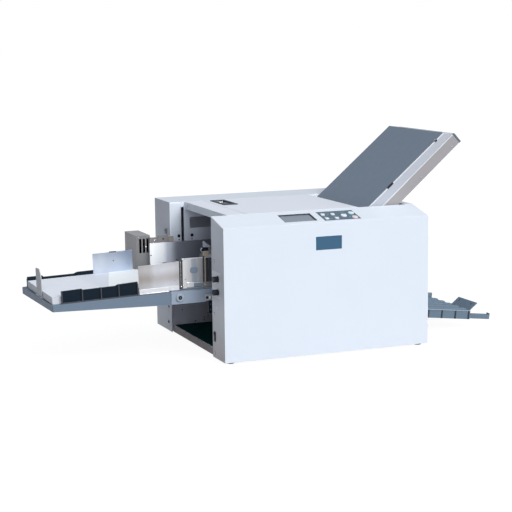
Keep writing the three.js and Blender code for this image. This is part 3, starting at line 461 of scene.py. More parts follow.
def box(x0, x1, y0, y1, z0, z1, bev=0.0, segs=2):
    return prism([(x0, y0), (x1, y0), (x1, y1), (x0, y1)], "Z", z0, z1, bev, segs)

def fillet(pts, r, n=3, closed=False):
    """Rounds the corners of a polyline."""
    out = []
    k = len(pts)
    for i, p in enumerate(pts):
        if not closed and i in (0, k - 1):
            out.append(tuple(p))
            continue
        a, c, b = Vector(pts[i - 1]), Vector(p), Vector(pts[(i + 1) % k])
        da, db = (a - c), (b - c)
        if da.length < 1e-6 or db.length < 1e-6:
            out.append(tuple(p))
            continue
        ang = da.angle(db)
        if ang > rad(172):
            out.append(tuple(p))
            continue
        rr = min(r, 0.45 * min(da.length, db.length))
        s, e = c + da.normalized() * rr, c + db.normalized() * rr
        for j in range(n + 1):
            t = j / n
            q = (1 - t) ** 2 * s + 2 * t * (1 - t) * c + t * t * e
            out.append(tuple(q))
    return out

def lathe(profile, axis, c, n=48, ring=False):
    """Turns (distance along the axis, radius) points round an axis through c, which has the other two coordinates."""
    bm = bmesh.new()
    def P(h, u, v):
        return (h, c[0] + u, c[1] + v) if axis == "X" else (c[0] + u, h, c[1] + v) if axis == "Y" else (c[0] + u, c[1] + v, h)
    rows = []
    for h, r in profile:
        if r < 1e-6:
            rows.append([bm.verts.new(P(h, 0, 0))])
        else:
            rows.append([bm.verts.new(P(h, r * math.cos(2 * math.pi * i / n), r * math.sin(2 * math.pi * i / n))) for i in range(n)])
    pairs = list(zip(rows, rows[1:]))
    if ring:
        pairs.append((rows[-1], rows[0]))
    for A, B in pairs:
        for i in range(n):
            j = (i + 1) % n
            if len(A) == 1 and len(B) == 1:
                continue
            if len(A) == 1:
                bm.faces.new((A[0], B[i], B[j]))
            elif len(B) == 1:
                bm.faces.new((A[i], B[0], A[j]))
            else:
                bm.faces.new((A[i], B[i], B[j], A[j]))
    bmesh.ops.recalc_face_normals(bm, faces=bm.faces)
    return bm

def rod(axis, c, r, a, b, n=32, chamfer=0.4):
    k = min(chamfer, r * 0.4, abs(b - a) * 0.3)
    return lathe([(a, 0), (a, r - k), (a + k * 0.3, r - k * 0.3), (a + k, r), (b - k, r), (b - k * 0.3, r - k * 0.3), (b, r - k), (b, 0)], axis, c, n)

def tube(path, r, n=12):
    """A round wire along a list of points."""
    bm = bmesh.new()
    pts = [Vector(p) for p in path]
    rows = []
    side = None
    for i, p in enumerate(pts):
        d = (pts[min(i + 1, len(pts) - 1)] - pts[max(i - 1, 0)]).normalized()
        if side is None:
            side = d.orthogonal().normalized()
        side = (side - d * side.dot(d)).normalized()
        o = d.cross(side)
        rows.append([bm.verts.new(p + (side * math.cos(2 * math.pi * k / n) + o * math.sin(2 * math.pi * k / n)) * r) for k in range(n)])
    for A, B in zip(rows, rows[1:]):
        for k in range(n):
            bm.faces.new((A[k], A[(k + 1) % n], B[(k + 1) % n], B[k]))
    bm.faces.new(rows[0][::-1])
    bm.faces.new(rows[-1])
    bmesh.ops.recalc_face_normals(bm, faces=bm.faces)
    return bm

def move(bm, mat):
    bm.transform(mat)
    return bm

def dup(bm):
    return bm.copy()

def merge(*parts):
    """Joins shells, given as bm or (bm, material number), into one bmesh."""
    out = bmesh.new()
    for p in parts:
        bm, mi = p if isinstance(p, tuple) else (p, None)
        if mi is not None:
            for f in bm.faces:
                f.material_index = mi
        me = bpy.data.meshes.new("t")
        bm.to_mesh(me)
        out.from_mesh(me)
        bpy.data.meshes.remove(me)
        bm.free()
    return out

def boolean(a, *cutters, op="DIFFERENCE"):
    """a less (or joined with) the cutters."""
    ma = bpy.data.meshes.new("a")
    a.to_mesh(ma)
    a.free()
    oa = bpy.data.objects.new("a", ma)
    SCENE.collection.objects.link(oa)
    obs = []
    for c in cutters:
        mb = bpy.data.meshes.new("b")
        c.to_mesh(mb)
        c.free()
        ob = bpy.data.objects.new("b", mb)
        SCENE.collection.objects.link(ob)
        md = oa.modifiers.new("b", "BOOLEAN")
        md.object, md.operation, md.solver = ob, op, "EXACT"
        obs.append(ob)
    bpy.context.view_layer.update()
    dg = bpy.context.evaluated_depsgraph_get()
    me = bpy.data.meshes.new_from_object(oa.evaluated_get(dg))
    out = bmesh.new()
    out.from_mesh(me)
    for o in [oa, *obs]:
        d = o.data
        bpy.data.objects.remove(o)
        bpy.data.meshes.remove(d)
    bpy.data.meshes.remove(me)
    bmesh.ops.remove_doubles(out, verts=out.verts, dist=1e-4)
    return out

def tidy(bm, ang=0.6):
    bmesh.ops.remove_doubles(bm, verts=bm.verts, dist=0.003)
    bmesh.ops.dissolve_limit(bm, angle_limit=rad(ang), verts=bm.verts, edges=bm.edges)
    bmesh.ops.recalc_face_normals(bm, faces=bm.faces)
    return bm

def cad(node):
    """A copy of a CAD node's mesh in design millimetres, with its flat faces whole."""
    bm = bmesh.new()
    bm.from_mesh(frame["nodes"][node].data)
    bm.transform(TO_MM)
    for layer in list(bm.loops.layers.uv.values()):
        bm.loops.layers.uv.remove(layer)
    for f in bm.faces:
        f.material_index = 0
    return tidy(bm)

def even_normals(me, flat):
    """Corner normals: a face larger than flat mm2 keeps its own, the others take the area-weighted mean of their smooth fan."""
    polys = me.polygons
    n = len(me.loops)
    root = list(range(n))
    def find(i):
        while root[i] != i:
            root[i] = root[root[i]]
            i = root[i]
        return i
    corner = {}
    for p in polys:
        ls = list(p.loop_indices)
        for k, li in enumerate(ls):
            e = me.loops[li].edge_index
            nx = ls[(k + 1) % len(ls)]
            corner.setdefault(e, []).append((li, me.loops[li].vertex_index, nx, me.loops[nx].vertex_index))
    for e, cs in corner.items():
        if len(cs) != 2 or me.edges[e].use_edge_sharp:
            continue
        (a, va, b, vb), (c, vc, d, vd) = cs
        for i, vi in ((a, va), (b, vb)):
            for j, vj in ((c, vc), (d, vd)):
                if vi == vj:
                    root[find(i)] = find(j)
    total = {}
    for p in polys:
        w = p.normal * p.area
        for li in p.loop_indices:
            r = find(li)
            total[r] = total[r] + w if r in total else w.copy()
    out = [None] * n
    for p in polys:
        own = p.normal.copy() if p.normal.length > 0.5 else Vector((0, 0, 1))
        for li in p.loop_indices:
            t = total[find(li)]
            if p.area * 1e6 > flat or t.length < 1e-14 or t.normalized().dot(own) < 0.05:
                out[li] = own
            else:
                out[li] = t.normalized()
    me.normals_split_custom_set(out)

def emit(name, bm, mats, body, stands_for=(), sharp=35, weighted=True, flat=0):
    bm.transform(TO_PART)
    me = bpy.data.meshes.new(name)
    bm.to_mesh(me)
    bm.free()
    for k in ([mats] if isinstance(mats, str) else mats):
        me.materials.append(MAT[k])
    ob = bpy.data.objects.new(name, me)
    SCENE.collection.objects.link(ob)
    me.shade_smooth()
    me.set_sharp_from_angle(angle=rad(sharp))
    if flat:
        even_normals(me, flat)
    elif weighted:
        wn = ob.modifiers.new("even_normals", "WEIGHTED_NORMAL")
        wn.keep_sharp = True
        wn.weight = 60
    if stands_for:
        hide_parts(*stands_for)
    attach(ob, body)
    return ob

def finish_node(node, mats=None, passes=((0.4, 2, dict(min_len=1.2)),), name=None, work=None, paint=None):
    """A CAD node's shape with its edges rounded, standing for that node. work changes the mesh, paint sets material numbers."""
    bm = cad(node)
    if work:
        bm = work(bm) or bm
    if paint:
        bm.normal_update()
        for f in bm.faces:
            f.material_index = paint(f.calc_center_median(), f.normal)
    for width, segs, kw in passes:
        bevel(bm, width, segs, **kw)
    bmesh.ops.dissolve_degenerate(bm, dist=0.004, edges=bm.edges)
    return emit(name or node + "_finished", bm, mats or SLOT[node], BODY[node], (node,), flat=300)

DECK = Matrix.Translation((0, 0, 386)) @ Matrix.Rotation(math.atan2(24.2, 101), 4, "X")
OUTER = Matrix.Translation((-86, 0, 174)) @ Matrix.Rotation(-rad(1.76), 4, "Y")
TRAY = Matrix.Translation((656, 0, 72)) @ Matrix.Rotation(rad(6.8), 4, "Y")
FLAP = TRAY @ Matrix.Translation((240, 0, 0)) @ Matrix.Rotation(-rad(44.8), 4, "Y")

# pan-head cross screw: head up along +Z, base at z = 0, radius 1
def screw_master():
    head = lathe(fillet([(0, 0), (0, 1.0), (0.28, 1.0), (0.55, 0.62), (0.62, 0)], 0.25, 4), "Z", (0, 0), 32)
    for a in (0, 90):
        c = move(box(-0.62, 0.62, -0.115, 0.115, 0.30, 0.8), Matrix.Rotation(rad(a), 4, "Z"))
        head = boolean(head, c)
    return head

SCREW = screw_master()

def screws(places, facing, r):
    """Screw heads at (x, y, z) points, facing a direction, of radius r in mm; each is turned a different way."""
    rnd = random.Random(11)
    q = Vector(facing).to_track_quat("Z", "Y").to_matrix().to_4x4()
    parts = []
    for p in places:
        rr = p[3] if len(p) > 3 else r
        parts.append(move(dup(SCREW), Matrix.Translation(p[:3]) @ q @ Matrix.Rotation(rnd.uniform(0, 3), 4, "Z") @ Matrix.Scale(rr, 4)))
    return merge(*parts)

def rrect(cx, cy, w, h, r, n=5):
    pts = []
    for sx, sy, a0 in ((1, -1, -90), (1, 1, 0), (-1, 1, 90), (-1, -1, 180)):
        for i in range(n + 1):
            a = rad(a0 + 90 * i / n)
            pts.append((cx + sx * (w / 2 - r) + r * math.cos(a), cy + sy * (h / 2 - r) + r * math.sin(a)))
    return pts

# ------------------------------------------------------------------------------------------------ covers
# the mat argument gives the new bevel faces their own material; the lighter edge materials put there are painted
# highlights
BIG = lambda w, s=4, area=2200: (w, s, dict(min_area=area, convex=True, min_len=20))
FINE = lambda w=0.35, s=2, ml=1.5, mat=-1: (w, s, dict(min_len=ml, mat=mat))

def badge_recess(bm):
    return tidy(boolean(bm, box(284, 366.5, -1, 0.9, 306, 345.5)))
# front cover: its end faces take the darker copy of the white (painted shade), and its large rounded edges a lighter
# white (painted highlight)
finish_node("front_cover", ["cover_paint", "end_paint", "cover_edge_painted_highlight"], ((2.2, 4, dict(min_area=2200, convex=True, min_len=20, mat=2)), FINE(0.35)), work=badge_recess, paint=lambda c, n: 1 if n.x < -0.9 else 0)
emit("badge_plate", prism(rrect(325.25, 325.75, 82.0, 39.0, 0.8), "Y", 0.12, 0.86, 0.25), "badge_blue", "chassis")

def rear_vents(bm):
    cutters = []
    for i in range(9):
        cutters.append(prism(rrect(420, 300 - i * 12, 120, 5, 2.4), "Y", 615, 630))
    return tidy(boolean(bm, merge(*cutters)))
# rear cover: its feed-end face takes the darker copy of the white (painted shade); its inner wall faces take the strip
# white and the frame grey, each with painted light and shade along an axis
finish_node("rear_cover", ["cover_paint", "rear_end_painted_shade", "frame_paint", "strip_paint"], (BIG(2.2), FINE(0.35)), work=rear_vents,
            paint=lambda c, n: 1 if (n.x < -0.9 and c.x < 1) else 3 if (n.y < -0.9 and c.y < 475 and c.x < 45) else 2 if (n.y < -0.9 and c.y < 475) else 0)
# the top left cover's end faces take the darker copy of the white: painted shade
finish_node("top_left_cover", ["lid_paint", "end_paint"], (BIG(1.2, 3, 400), FINE(0.3)), paint=lambda c, n: 1 if n.x < -0.9 else 0)
finish_node("delivery_end_cover", ["lid_paint"], (BIG(1.2, 3, 900), FINE(0.3)))
finish_node("top_cover", ["lid_paint"], (BIG(1.0, 3, 900), FINE(0.3)))

emit("top_seam_strip", box(110.6, 112.2, 101.8, 473.2, 408.6, 410.45, 0.2), "lip_light", "chassis")
facing = boolean(box(2.7, 36.7, 473.45, 473.95, 150, 406.6), rod("Y", (29, 304), 4.0, 470, 477, 28, 0), rod("Y", (29, 292), 1.7, 470, 477, 20, 0))
emit("front_strip_facing", facing, "strip_paint", "chassis")
# painted shade: near-black discs behind the wall's holes and dark rings round them
holes = [rod("Y", c, r, y0, y1, 24, 0) for c, r, y0, y1 in (((29, 304), 4.0, 475.2, 476.3), ((29, 292), 1.7, 475.2, 476.3), ((72, 304), 4.0, 475.4, 476.4), ((72, 293), 1.7, 475.4, 476.4),
         ((108.6, 40), 2.15, 474.9, 476.2), ((120.4, 41.7), 2.15, 474.9, 476.2), ((108.5, 30.5), 2.15, 474.9, 476.2), ((79, 29.2), 2.35, 474.9, 476.2), ((35, 69.2), 1.85, 474.9, 476.2))]
holes += [rod("Y", (29, 304), 5.2, 473.3, 473.6, 28, 0.05), rod("Y", (72, 304), 5.2, 473.8, 474.1, 28, 0.05), rod("Y", (29, 292), 2.2, 473.3, 473.6, 20, 0.05), rod("Y", (72, 293), 2.2, 473.8, 474.1, 20, 0.05)]
emit("wall_hole_painted_shade", merge(*holes), "hollow_painted_shade", "chassis")

# ------------------------------------------------------------------------------------------------ frames, pan, feet
def rear_frame_holes(bm):
    cutters = [rod("Y", c, r, 470, 480, 20, 0) for c, r in
               (((108.6, 40), 2.2), ((120.4, 41.7), 2.2), ((108.5, 30.5), 2.2), ((79, 29.2), 2.4), ((35, 69.2), 1.9))]
    return tidy(boolean(bm, merge(*cutters)))
finish_node("rear_side_frame", ["frame_paint"], (FINE(0.3),), work=rear_frame_holes)
finish_node("front_side_frame", ["frame_paint"], (FINE(0.3),))
emit("wall_screws", merge(screws([(120.4, 474.0, 52, 2.0), (52, 474.0, 120, 2.0), (240, 474.0, 60, 2.4), (420, 474.0, 60, 2.4)], (0, -1, 0), 2)), "post_dark", "chassis")
finish_node("base_pan", ["pan_dark", "end_wall_paint", "lip_light"], (FINE(0.35),),
            paint=lambda c, n: 1 if (n.x < -0.9 and c.x < 5) or c.x > 643 or c.z < 4.3 else 0)
# the light grey strip along the top of the pan's lip is a painted highlight
emit("base_lip_edge", prism(fillet([(4.2, 22.6), (4.2, 24.3), (7.4, 24.3), (7.4, 23.6), (5.0, 23.6), (5.0, 22.6)], 0.4, 2, True), "Y", 102, 473), "lip_light", "chassis")
for n, x, y in (("foot_front_left", 24, 24), ("foot_front_right", 626, 24), ("foot_rear_left", 24, 599), ("foot_rear_right", 626, 599)):
    prof = fillet([(-6, 0), (-6, 10.5), (-5.4, 12), (-1.2, 13.6), (3.7, 13.6), (3.7, 0)], 0.8, 3)
    emit(n + "_finished", lathe(prof, "Z", (x, y), 48), "rubber", BODY[n], (n,))

# ------------------------------------------------------------------------------------------------ console
lcd = prism(rrect(247, 49.25, 100.6, 60.1, 1.0), "Z", -8, -3.6)
bezel = boolean(prism(rrect(247, 49.25, 101.2, 60.7, 1.2), "Z", -6, -0.5, 0.2), prism(rrect(247, 49.25, 98.4, 57.9, 0.8), "Z", -9, 1))
flange = prism([(192, 15), (302, 15), (302, 84), (192, 84)], "Z", -8, -6.2)
emit("display_assembly", move(merge((lcd, 0), (bezel, 1), (flange, 1)), DECK), ["display_glass", "bezel_black"], "chassis", ("display_window",))

KEYS_R = {"key_minus": (332, 28.6), "key_plus": (363, 27.5), "key_menu": (332, 60.8), "key_mode": (363.4, 59.8)}
KEYS_O = {"key_set": (393, 45.2, 9.4), "key_start": (423.5, 61.5, 9.2), "key_stop": (420.8, 27, 9.2)}
film = prism(rrect(377, 48.5, 115.2, 72.2, 0.8), "Z", -4, -0.9)
cut_list = [prism(rrect(x, s, 12.5, 12.0, 2.2), "Z", -10, 5) for x, s in KEYS_R.values()]
cut_list += [rod("Z", (x, s), r + 0.5, -10, 5, 32, 0) for x, s, r in KEYS_O.values()]
film = boolean(film, merge(*cut_list))
bevel(film, 0.2, 1, min_len=0.5)
rim = boolean(prism(rrect(377, 48.5, 115.8, 72.8, 0.8), "Z", -6, -0.45, 0.2), prism(rrect(377, 48.5, 114.2, 71.2, 0.6), "Z", -9, 2))
under = boolean(prism([(315, 8), (439, 8), (439, 89), (315, 89)], "Z", -6, -4.2), merge(*[prism(rrect(x, s, 12.5, 12.0, 2.2), "Z", -10, 5) for x, s in KEYS_R.values()], *[rod("Z", (x, s), r + 0.5, -10, 5, 32, 0) for x, s, r in KEYS_O.values()]))
emit("keypad_assembly", move(merge((film, 0), (rim, 1), (under, 1)), DECK), ["keypad_film", "bezel_black"], "chassis", ("keypad_panel",))
# small printed marks and indicator windows between the keys
marks = []
for x, s in ((343.5, 74), (349.5, 74), (355.5, 74), (396, 76), (402, 76), (408, 76), (398, 68)):
    marks.append((prism(rrect(x, s, 3.2, 2.0, 0.5), "Z", -0.95, -0.72), 0))
for x, s in ((332, 44.5), (363, 44), (332, 73.5), (347.5, 29), (347.5, 60)):
    marks.append((prism(rrect(x, s, 7.5, 1.3, 0.3), "Z", -0.95, -0.78), 0))
for x, s in ((404.5, 60), (407, 31)):
    marks.append((rod("Z", (x, s), 1.6, -0.95, -0.6, 20, 0.2), 1))
emit("keypad_marks", move(merge(*marks), DECK), ["mark_grey", "key_cyan"], "chassis")
for n, (x, s) in KEYS_R.items():
    emit(n + "_finished", move(prism(rrect(x, s, 11.5, 11.0, 1.9), "Z", -5, 1.9, 0.7, 3), DECK), SLOT[n], BODY[n], (n,))
for n, (x, s, r) in KEYS_O.items():
    prof = fillet([(-5, 0), (-5, r), (1.2, r), (2.0, r - 1.2), (2.2, 0)], 0.8, 4)
    emit(n + "_finished", move(lathe(prof, "Z", (x, s), 56), DECK), SLOT[n], BODY[n], (n,))

# ------------------------------------------------------------------------------------------------ top cover latch
frame_ring = boolean(prism(rrect(150, 393, 48, 129, 5), "Z", 408.4, 412.0, 1.0, 3), prism(rrect(151.2, 400, 29.4, 99, 3), "Z", 400, 415))
# the latch well's inner walls are near-black: painted shade in the recess
well = boolean(prism(rrect(151, 395, 35.6, 113.6, 2), "Z", 399.6, 409.0), prism(rrect(151, 395, 30.6, 109.6, 2), "Z", 401.5, 415))
emit("latch_frame", merge((frame_ring, 0), (well, 1)), ["mark_slate", "hollow_painted_shade"], "top_lid")
bm_l = merge(
    (prism(fillet([(420, 409.6), (420, 404.0), (446, 403.4), (449, 404), (449, 409.2), (436, 411.0)], 1.0, 3, True), "X", 137.2, 156.0, 0.5), 0),
    (prism(fillet([(376, 408.2), (376, 402.4), (379, 402.4), (380.5, 405), (418, 406.0), (418, 408.6)], 0.8, 3, True), "X", 137.2, 164.8, 0.3), 2),
    (rod("X", (446, 405.7), 2.8, 136.4, 165.6, 24), 1))
emit("latch_lever", bm_l, ["bright_steel", "dark_steel", "latch_plate"], "lid_latch", ("top_cover_latch",))

# ------------------------------------------------------------------------------------------------ feed-end controls
def fluted(cy, cz, r, x0, x1, n=22, depth=0.55):
    pts = []
    for i in range(n * 6):
        a = 2 * math.pi * i / (n * 6)
        q = r - depth * max(0.0, math.cos(n * a)) ** 2
        pts.append((cy + q * math.cos(a), cz + q * math.sin(a)))
    return prism(pts, "X", x0, x1, 0.7, 3, ang=60)
for n, z in (("air_knob_upper", 236), ("air_knob_lower", 198)):
    skirt = lathe(fillet([(-4.2, 0), (-4.2, 8.9), (-0.8, 8.9), (-0.8, 0)], 0.5, 3), "X", (48, z), 56)
    grip = fluted(48, z, 8.4, -16.6, -3.8)
    face = lathe(fillet([(-17.0, 0), (-17.0, 5.6), (-16.2, 6.2), (-16.2, 0)], 0.3, 2), "X", (48, z), 48)
    line = box(-17.0, -16.8, 47.6, 48.4, z + 0.5, z + 5.4)
    shaft = rod("X", (48, z), 4, -1, 13, 28)
    emit(n + "_finished", merge((skirt, 0), (grip, 0), (face, 0), (line, 1), (shaft, 2)), ["knob_black", "key_white", "dark_steel"], BODY[n], (n,))

rk = prism(fillet([(-1.2, 52), (2.4, 52.6), (8, 54), (8, 72), (2.4, 73.4), (-4, 74), (-1.9, 63)], 1.2, 3, True), "Y", 77.2, 86.8, 0.4)
emit("power_rocker_finished", rk, "black_plastic", BODY["power_rocker"], ("power_rocker",))
bz = boolean(prism(rrect(82, 63, 14.6, 29.4, 1.2), "X", -1.2, 0.2, 0.4), prism(rrect(82, 63, 10.6, 26.4, 0.5), "X", -3, 3))
emit("rocker_bezel", bz, "black_plastic", "chassis")

# printed panel round the air knobs: arcs of plain ticks
dec = [(prism(rrect(64.5, 217.5, 68, 75, 2), "X", -0.14, 0.05), 0)]
for z in (236, 198):
    for i in range(11):
        a = rad(-225 + i * 27 + 180)
        u, v = math.cos(a), math.sin(a)
        tick = box(-0.22, -0.1, 10.6, 12.6 if i % 5 else 13.4, -0.35, 0.35)
        dec.append((move(tick, Matrix.Translation((0, 48, z)) @ Matrix.Rotation(a + math.pi / 2, 4, "X")), 1))
    dec.append((box(-0.22, -0.1, 62.5, 74, z - 0.5, z + 0.5), 1))
    dec.append((box(-0.22, -0.1, 62.5, 69, z - 3.6, z - 2.8), 1))
emit("air_control_decal", merge(*dec), ["decal", "mark_dark"], "chassis")
# the rings round three of the end-face screws are near-black: painted shade
emit("front_casing_screws", merge((screws([(-0.05, 79, 284), (-0.05, 83, 256, 2.2), (-0.05, 84, 131), (-0.05, 84, 14), (-0.05, 60, 150, 2.0)], (-1, 0, 0), 2.9), 0),
     (rod("X", (79, 284), 4.2, -0.2, 0.1, 28, 0.1), 1), (rod("X", (84, 131), 4.2, -0.2, 0.1, 28, 0.1), 1), (rod("X", (84, 14), 4.2, -0.2, 0.1, 28, 0.1), 1)),
     ["bright_steel", "hollow_painted_shade"], "chassis")

# rear casing, feed end: screws, holes and a small catch
# its holes are near-black discs: painted shade
rear_end = [(screws([(-0.05, 504, 29)], (-1, 0, 0), 4.2), 0),
            (rod("X", (501, 79), 5.2, -0.25, 0.1, 28, 0.1), 1), (rod("X", (504, 29), 5.4, -0.2, 0.1, 28, 0.1), 1),
            (prism(fillet([(497, 72), (505, 72), (505.5, 58), (502, 56), (498.5, 57.5), (498, 61), (501, 62), (501, 66), (497, 67)], 1.2, 3, True), "X", -0.9, 0.1, 0.3), 2),
            (box(-5, 0.1, 505, 512, 309, 325, 0.6), 3), (rod("X", (508.5, 319), 2.6, -5.6, -4, 20), 1)]
emit("rear_casing_end_fittings", merge(*rear_end), ["post_dark", "hollow_painted_shade", "lid_paint", "brown_steel"], "chassis")

# blank rating plate on the rear inner wall
emit("rating_plate_blank", merge((prism(rrect(100.5, 344, 71, 34, 1.5), "Y", 473.2, 473.9, 0.2), 0), (screws([(68, 473.3, 330, 1.2), (133, 473.3, 330, 1.2), (68, 473.3, 358, 1.2), (133, 473.3, 358, 1.2)], (0, -1, 0), 1.2), 1)),
     ["rating_plate", "bright_steel"], "chassis")

# ------------------------------------------------------------------------------------------------ feed table
# the feed table's and its extension's rounded edges take the lighter blue-grey: painted highlight
finish_node("feed_table", ["arm_paint", "dark_steel", "table_trim_and_painted_highlight"], (FINE(0.6, 2, 2.5, 2),), paint=lambda c, n: 1 if (c.y < 129.6 and c.x > 40) or (c.y > 468.4 and c.x > 40) or (abs(c.x - 60) < 6 and abs(c.z - 172) < 6) else 0)
finish_node("feed_table_extension", ["table_paint", "table_trim_and_painted_highlight"], (FINE(0.6, 2, 1.6, 1),))
# hinge bosses at both sides: turned cap with a socket screw, whose socket is near-black: painted shade
for y, s in ((126.6, 1), (471.4, -1)):
    cap = lathe(fillet([(y + s * 0.2, 0), (y + s * 0.2, 0.1), (y - s * 0.0, 5.6), (y - s * 1.2, 6.0), (y - s * 1.2, 10.8), (y + s * 0.4, 12.3), (y + s * 2.8, 12.3), (y + s * 2.8, 0)], 0.5, 3), "Y", (-88, 175.8), 56)
    sock = lathe([(y + s * 0.6, 0), (y + s * 0.6, 2.6), (y - s * 2.2, 2.6), (y - s * 2.2, 4.9), (y - s * 1.6, 5.5), (y + s * 0.4, 5.5), (y + s * 0.8, 0)], "Y", (-88, 175.8), 36)
    emit("table_hinge_cap_" + ("front" if s > 0 else "rear"), merge((cap, 0), (sock, 1)), ["table_trim_and_painted_highlight", "hollow_painted_shade"], "table_extension")
# end slider of the table's front arm, with its screw and a near-black disc for its hole (painted shade), and the dark
# bracket under it
sl = [(prism(rrect(-1, 170.5, 22, 19, 2), "Y", 126.2, 129.6, 0.5), 0), (rod("Y", (-6, 170), 4.3, 125.9, 127, 28, 0.3), 1), (screws([(4.5, 126.3, 170, 4.0)], (0, -1, 0), 4), 2)]
emit("table_end_slider", merge(*sl), ["grey_plastic", "hollow_painted_shade", "bright_steel"], "feed_table")
emit("table_stop_bracket", merge((prism(fillet([(-3, 161), (-3, 127), (0, 123), (9, 123), (11, 127), (11, 161)], 1.5, 3, True), "Y", 124.6, 128.4, 0.4), 0), (screws([(4, 124.7, 134, 2.2), (4, 124.7, 150, 2.2)], (0, -1, 0), 2.2), 1)),
     ["black_plastic", "dark_steel"], "feed_table")

# painted shade: flat near-black strips on the table for the shade in its grooves, and marks under the end guide's foot
slots = [move(box(-1.5, 1.5, -41, 41, 20.3, 20.68, 0.1), Matrix.Translation((-377.6, 368, 0)) @ Matrix.Rotation(rad(1.2), 4, "Z")),
         box(-376.4, -373.9, 176, 238, 20.3, 20.68, 0.1), box(-376.8, -373.6, 160, 168, 20.3, 20.68, 0.1)]
emit("table_end_slot_painted_shade", move(merge(*slots), OUTER), "hollow_painted_shade", "table_extension")
emit("end_guide_foot_painted_shade", move(merge(*[box(-379.4, -376.6, y, y + 5, 23.3, 23.75, 0.15) for y in (256, 266, 276)]), OUTER), "hollow_painted_shade", "end_guide")

# ------------------------------------------------------------------------------------------------ paper stack
rnd = random.Random(5)
W = 20.6
sheets = []
z = W + 0.35
k = 0
while z < W + 20.2:
    h = rnd.choice((0.9, 1.2, 1.6, 2.1))
    h = min(h, W + 20.3 - z)
    a, b2, c, d = (rnd.uniform(0, 0.45) for _ in range(4))
    sheets.append((box(-373 + a, -32 - b2, 143 + c, 446 - d, z, z + h - 0.02), 1))
    z += h
    k += 1
st = merge(*sheets)
st.normal_update()
for f in st.faces:
    f.material_index = 0 if f.normal.z > 0.9 else 1
bright = prism([(-208.9, 143.3), (-32.2, 143.3), (-32.2, 445.7), (-121.4, 445.7)], "Z", W + 20.3, W + 20.42)
emit("paper_top_sheet", move(bright, OUTER), "paper_bright", "table_extension")
emit("paper_stack_finished", move(st, OUTER), ["paper_top", "paper_edge"], "table_extension", ("paper_stack",))

# ------------------------------------------------------------------------------------------------ guides
def shift_ribs(bm):
    move(bm, OUTER.inverted())
    for v in bm.verts:
        for u in (-234.8, -182.8):
            if abs(v.co.x - u) < 1.7 and v.co.y < 138.4 and v.co.z < 57.0:
                v.co.x += 1.6
                break
    return move(bm, OUTER)
# painted highlights: the side plates' rounded edges and the front faces of the front plate's ribs are lighter than the
# black plastic
finish_node("side_plate_front", ["black_plastic", "black_edge_painted_highlight", "rib_front_painted_highlight"], (FINE(0.5, 2, 1.5, 1),), work=shift_ribs, paint=lambda c, n: 2 if (n.y < -0.9 and c.y < 133.2) else 0)
finish_node("side_plate_rear", ["black_plastic", "black_edge_painted_highlight"], (FINE(0.5, 2, 1.5, 1),))
finish_node("end_guide", ["grey_plastic"], (FINE(0.4, 2, 1.2),))
# the outer flap leaf carries the painted reflection tones of flap_steel
finish_node("front_guide_outer", ["flap_steel"], (FINE(0.25, 2, 2),))
# the flap lip is a strip of the lighter steel: painted reflection along the flap's lower edge
flap_lip = boolean(box(-120.6, -32.6, 134.5, 135.3, W + 2.2, W + 15.5, 0.2), merge(*[box(u - 3.2, u + 3.2, 130, 140, W + 5.0, W + 7.4) for u in (-110, -76, -48)]))
emit("front_flap_lip", move(flap_lip, OUTER), "lip_steel_painted_reflection", "front_outer_guide")
# the rear outer flap carries the painted reflection and shade tones of rear_steel_outer
finish_node("rear_guide_outer", ["rear_steel_outer"], (FINE(0.25, 2, 2),))
# painted shade: a near-black disc and line on the rear flap
marks = merge(rod("Y", (-192.5, 245.6), 1.9, 447.2, 447.6, 24, 0.05), box(-206, -183, 447.1, 447.55, 271.2, 274.4, 0.1))
emit("rear_flap_painted_shade_marks", marks, "hollow_painted_shade", "rear_outer_guide")

# front inner guide: outer leaf with its lip, double post, inner leaf with a lower band, clamp rod, blocks and the arm to the rail
def rail_hub(x0, x1, y0, y1, z0, z1):
    return boolean(box(x0, x1, y0, y1, z0, z1, 0.8), rod("Y", (150, 262), 6.4, y0 - 5, y1 + 5, 32, 0))
leaf = prism([(-122.5, 197.4), (-86.4, 197.6), (-86.4, 280.6), (-122.5, 279.0)], "Y", 137.2, 138.5, 0.2)
leaf_lip = boolean(box(-117.0, -87.0, 136.95, 137.25, 197.0, 209.6, 0.1), box(-110, -103, 130, 140, 200.2, 202.6))
inner = boolean(box(-76, 44, 141.4, 142.8, 199, 287.4, 0.25), merge(rod("Y", (-66, 226), 1.6, 140, 144, 20, 0), rod("Y", (-20, 226), 1.6, 140, 144, 20, 0)))
band_a = box(-62.8, -41, 139.2, 141.2, 200.8, 216.2, 0.4)
band_b = box(-41.3, -16, 139.2, 141.2, 200.8, 215.4, 0.4)
plate_mark = prism(rrect(-39.8, 251, 24, 18, 7), "Y", 141.0, 141.45, 0.15)
arm = boolean(box(38, 163, 141.4, 142.8, 250, 274, 0.3), rod("Y", (150, 262), 6.4, 130, 170, 32, 0))
tri = prism(fillet([(-9, 314.6), (14.0, 314.6), (14.0, 317.0), (-6, 333.0), (-9, 333.0)], 0.8, 3, True), "Y", 145.5, 147, 0.3)
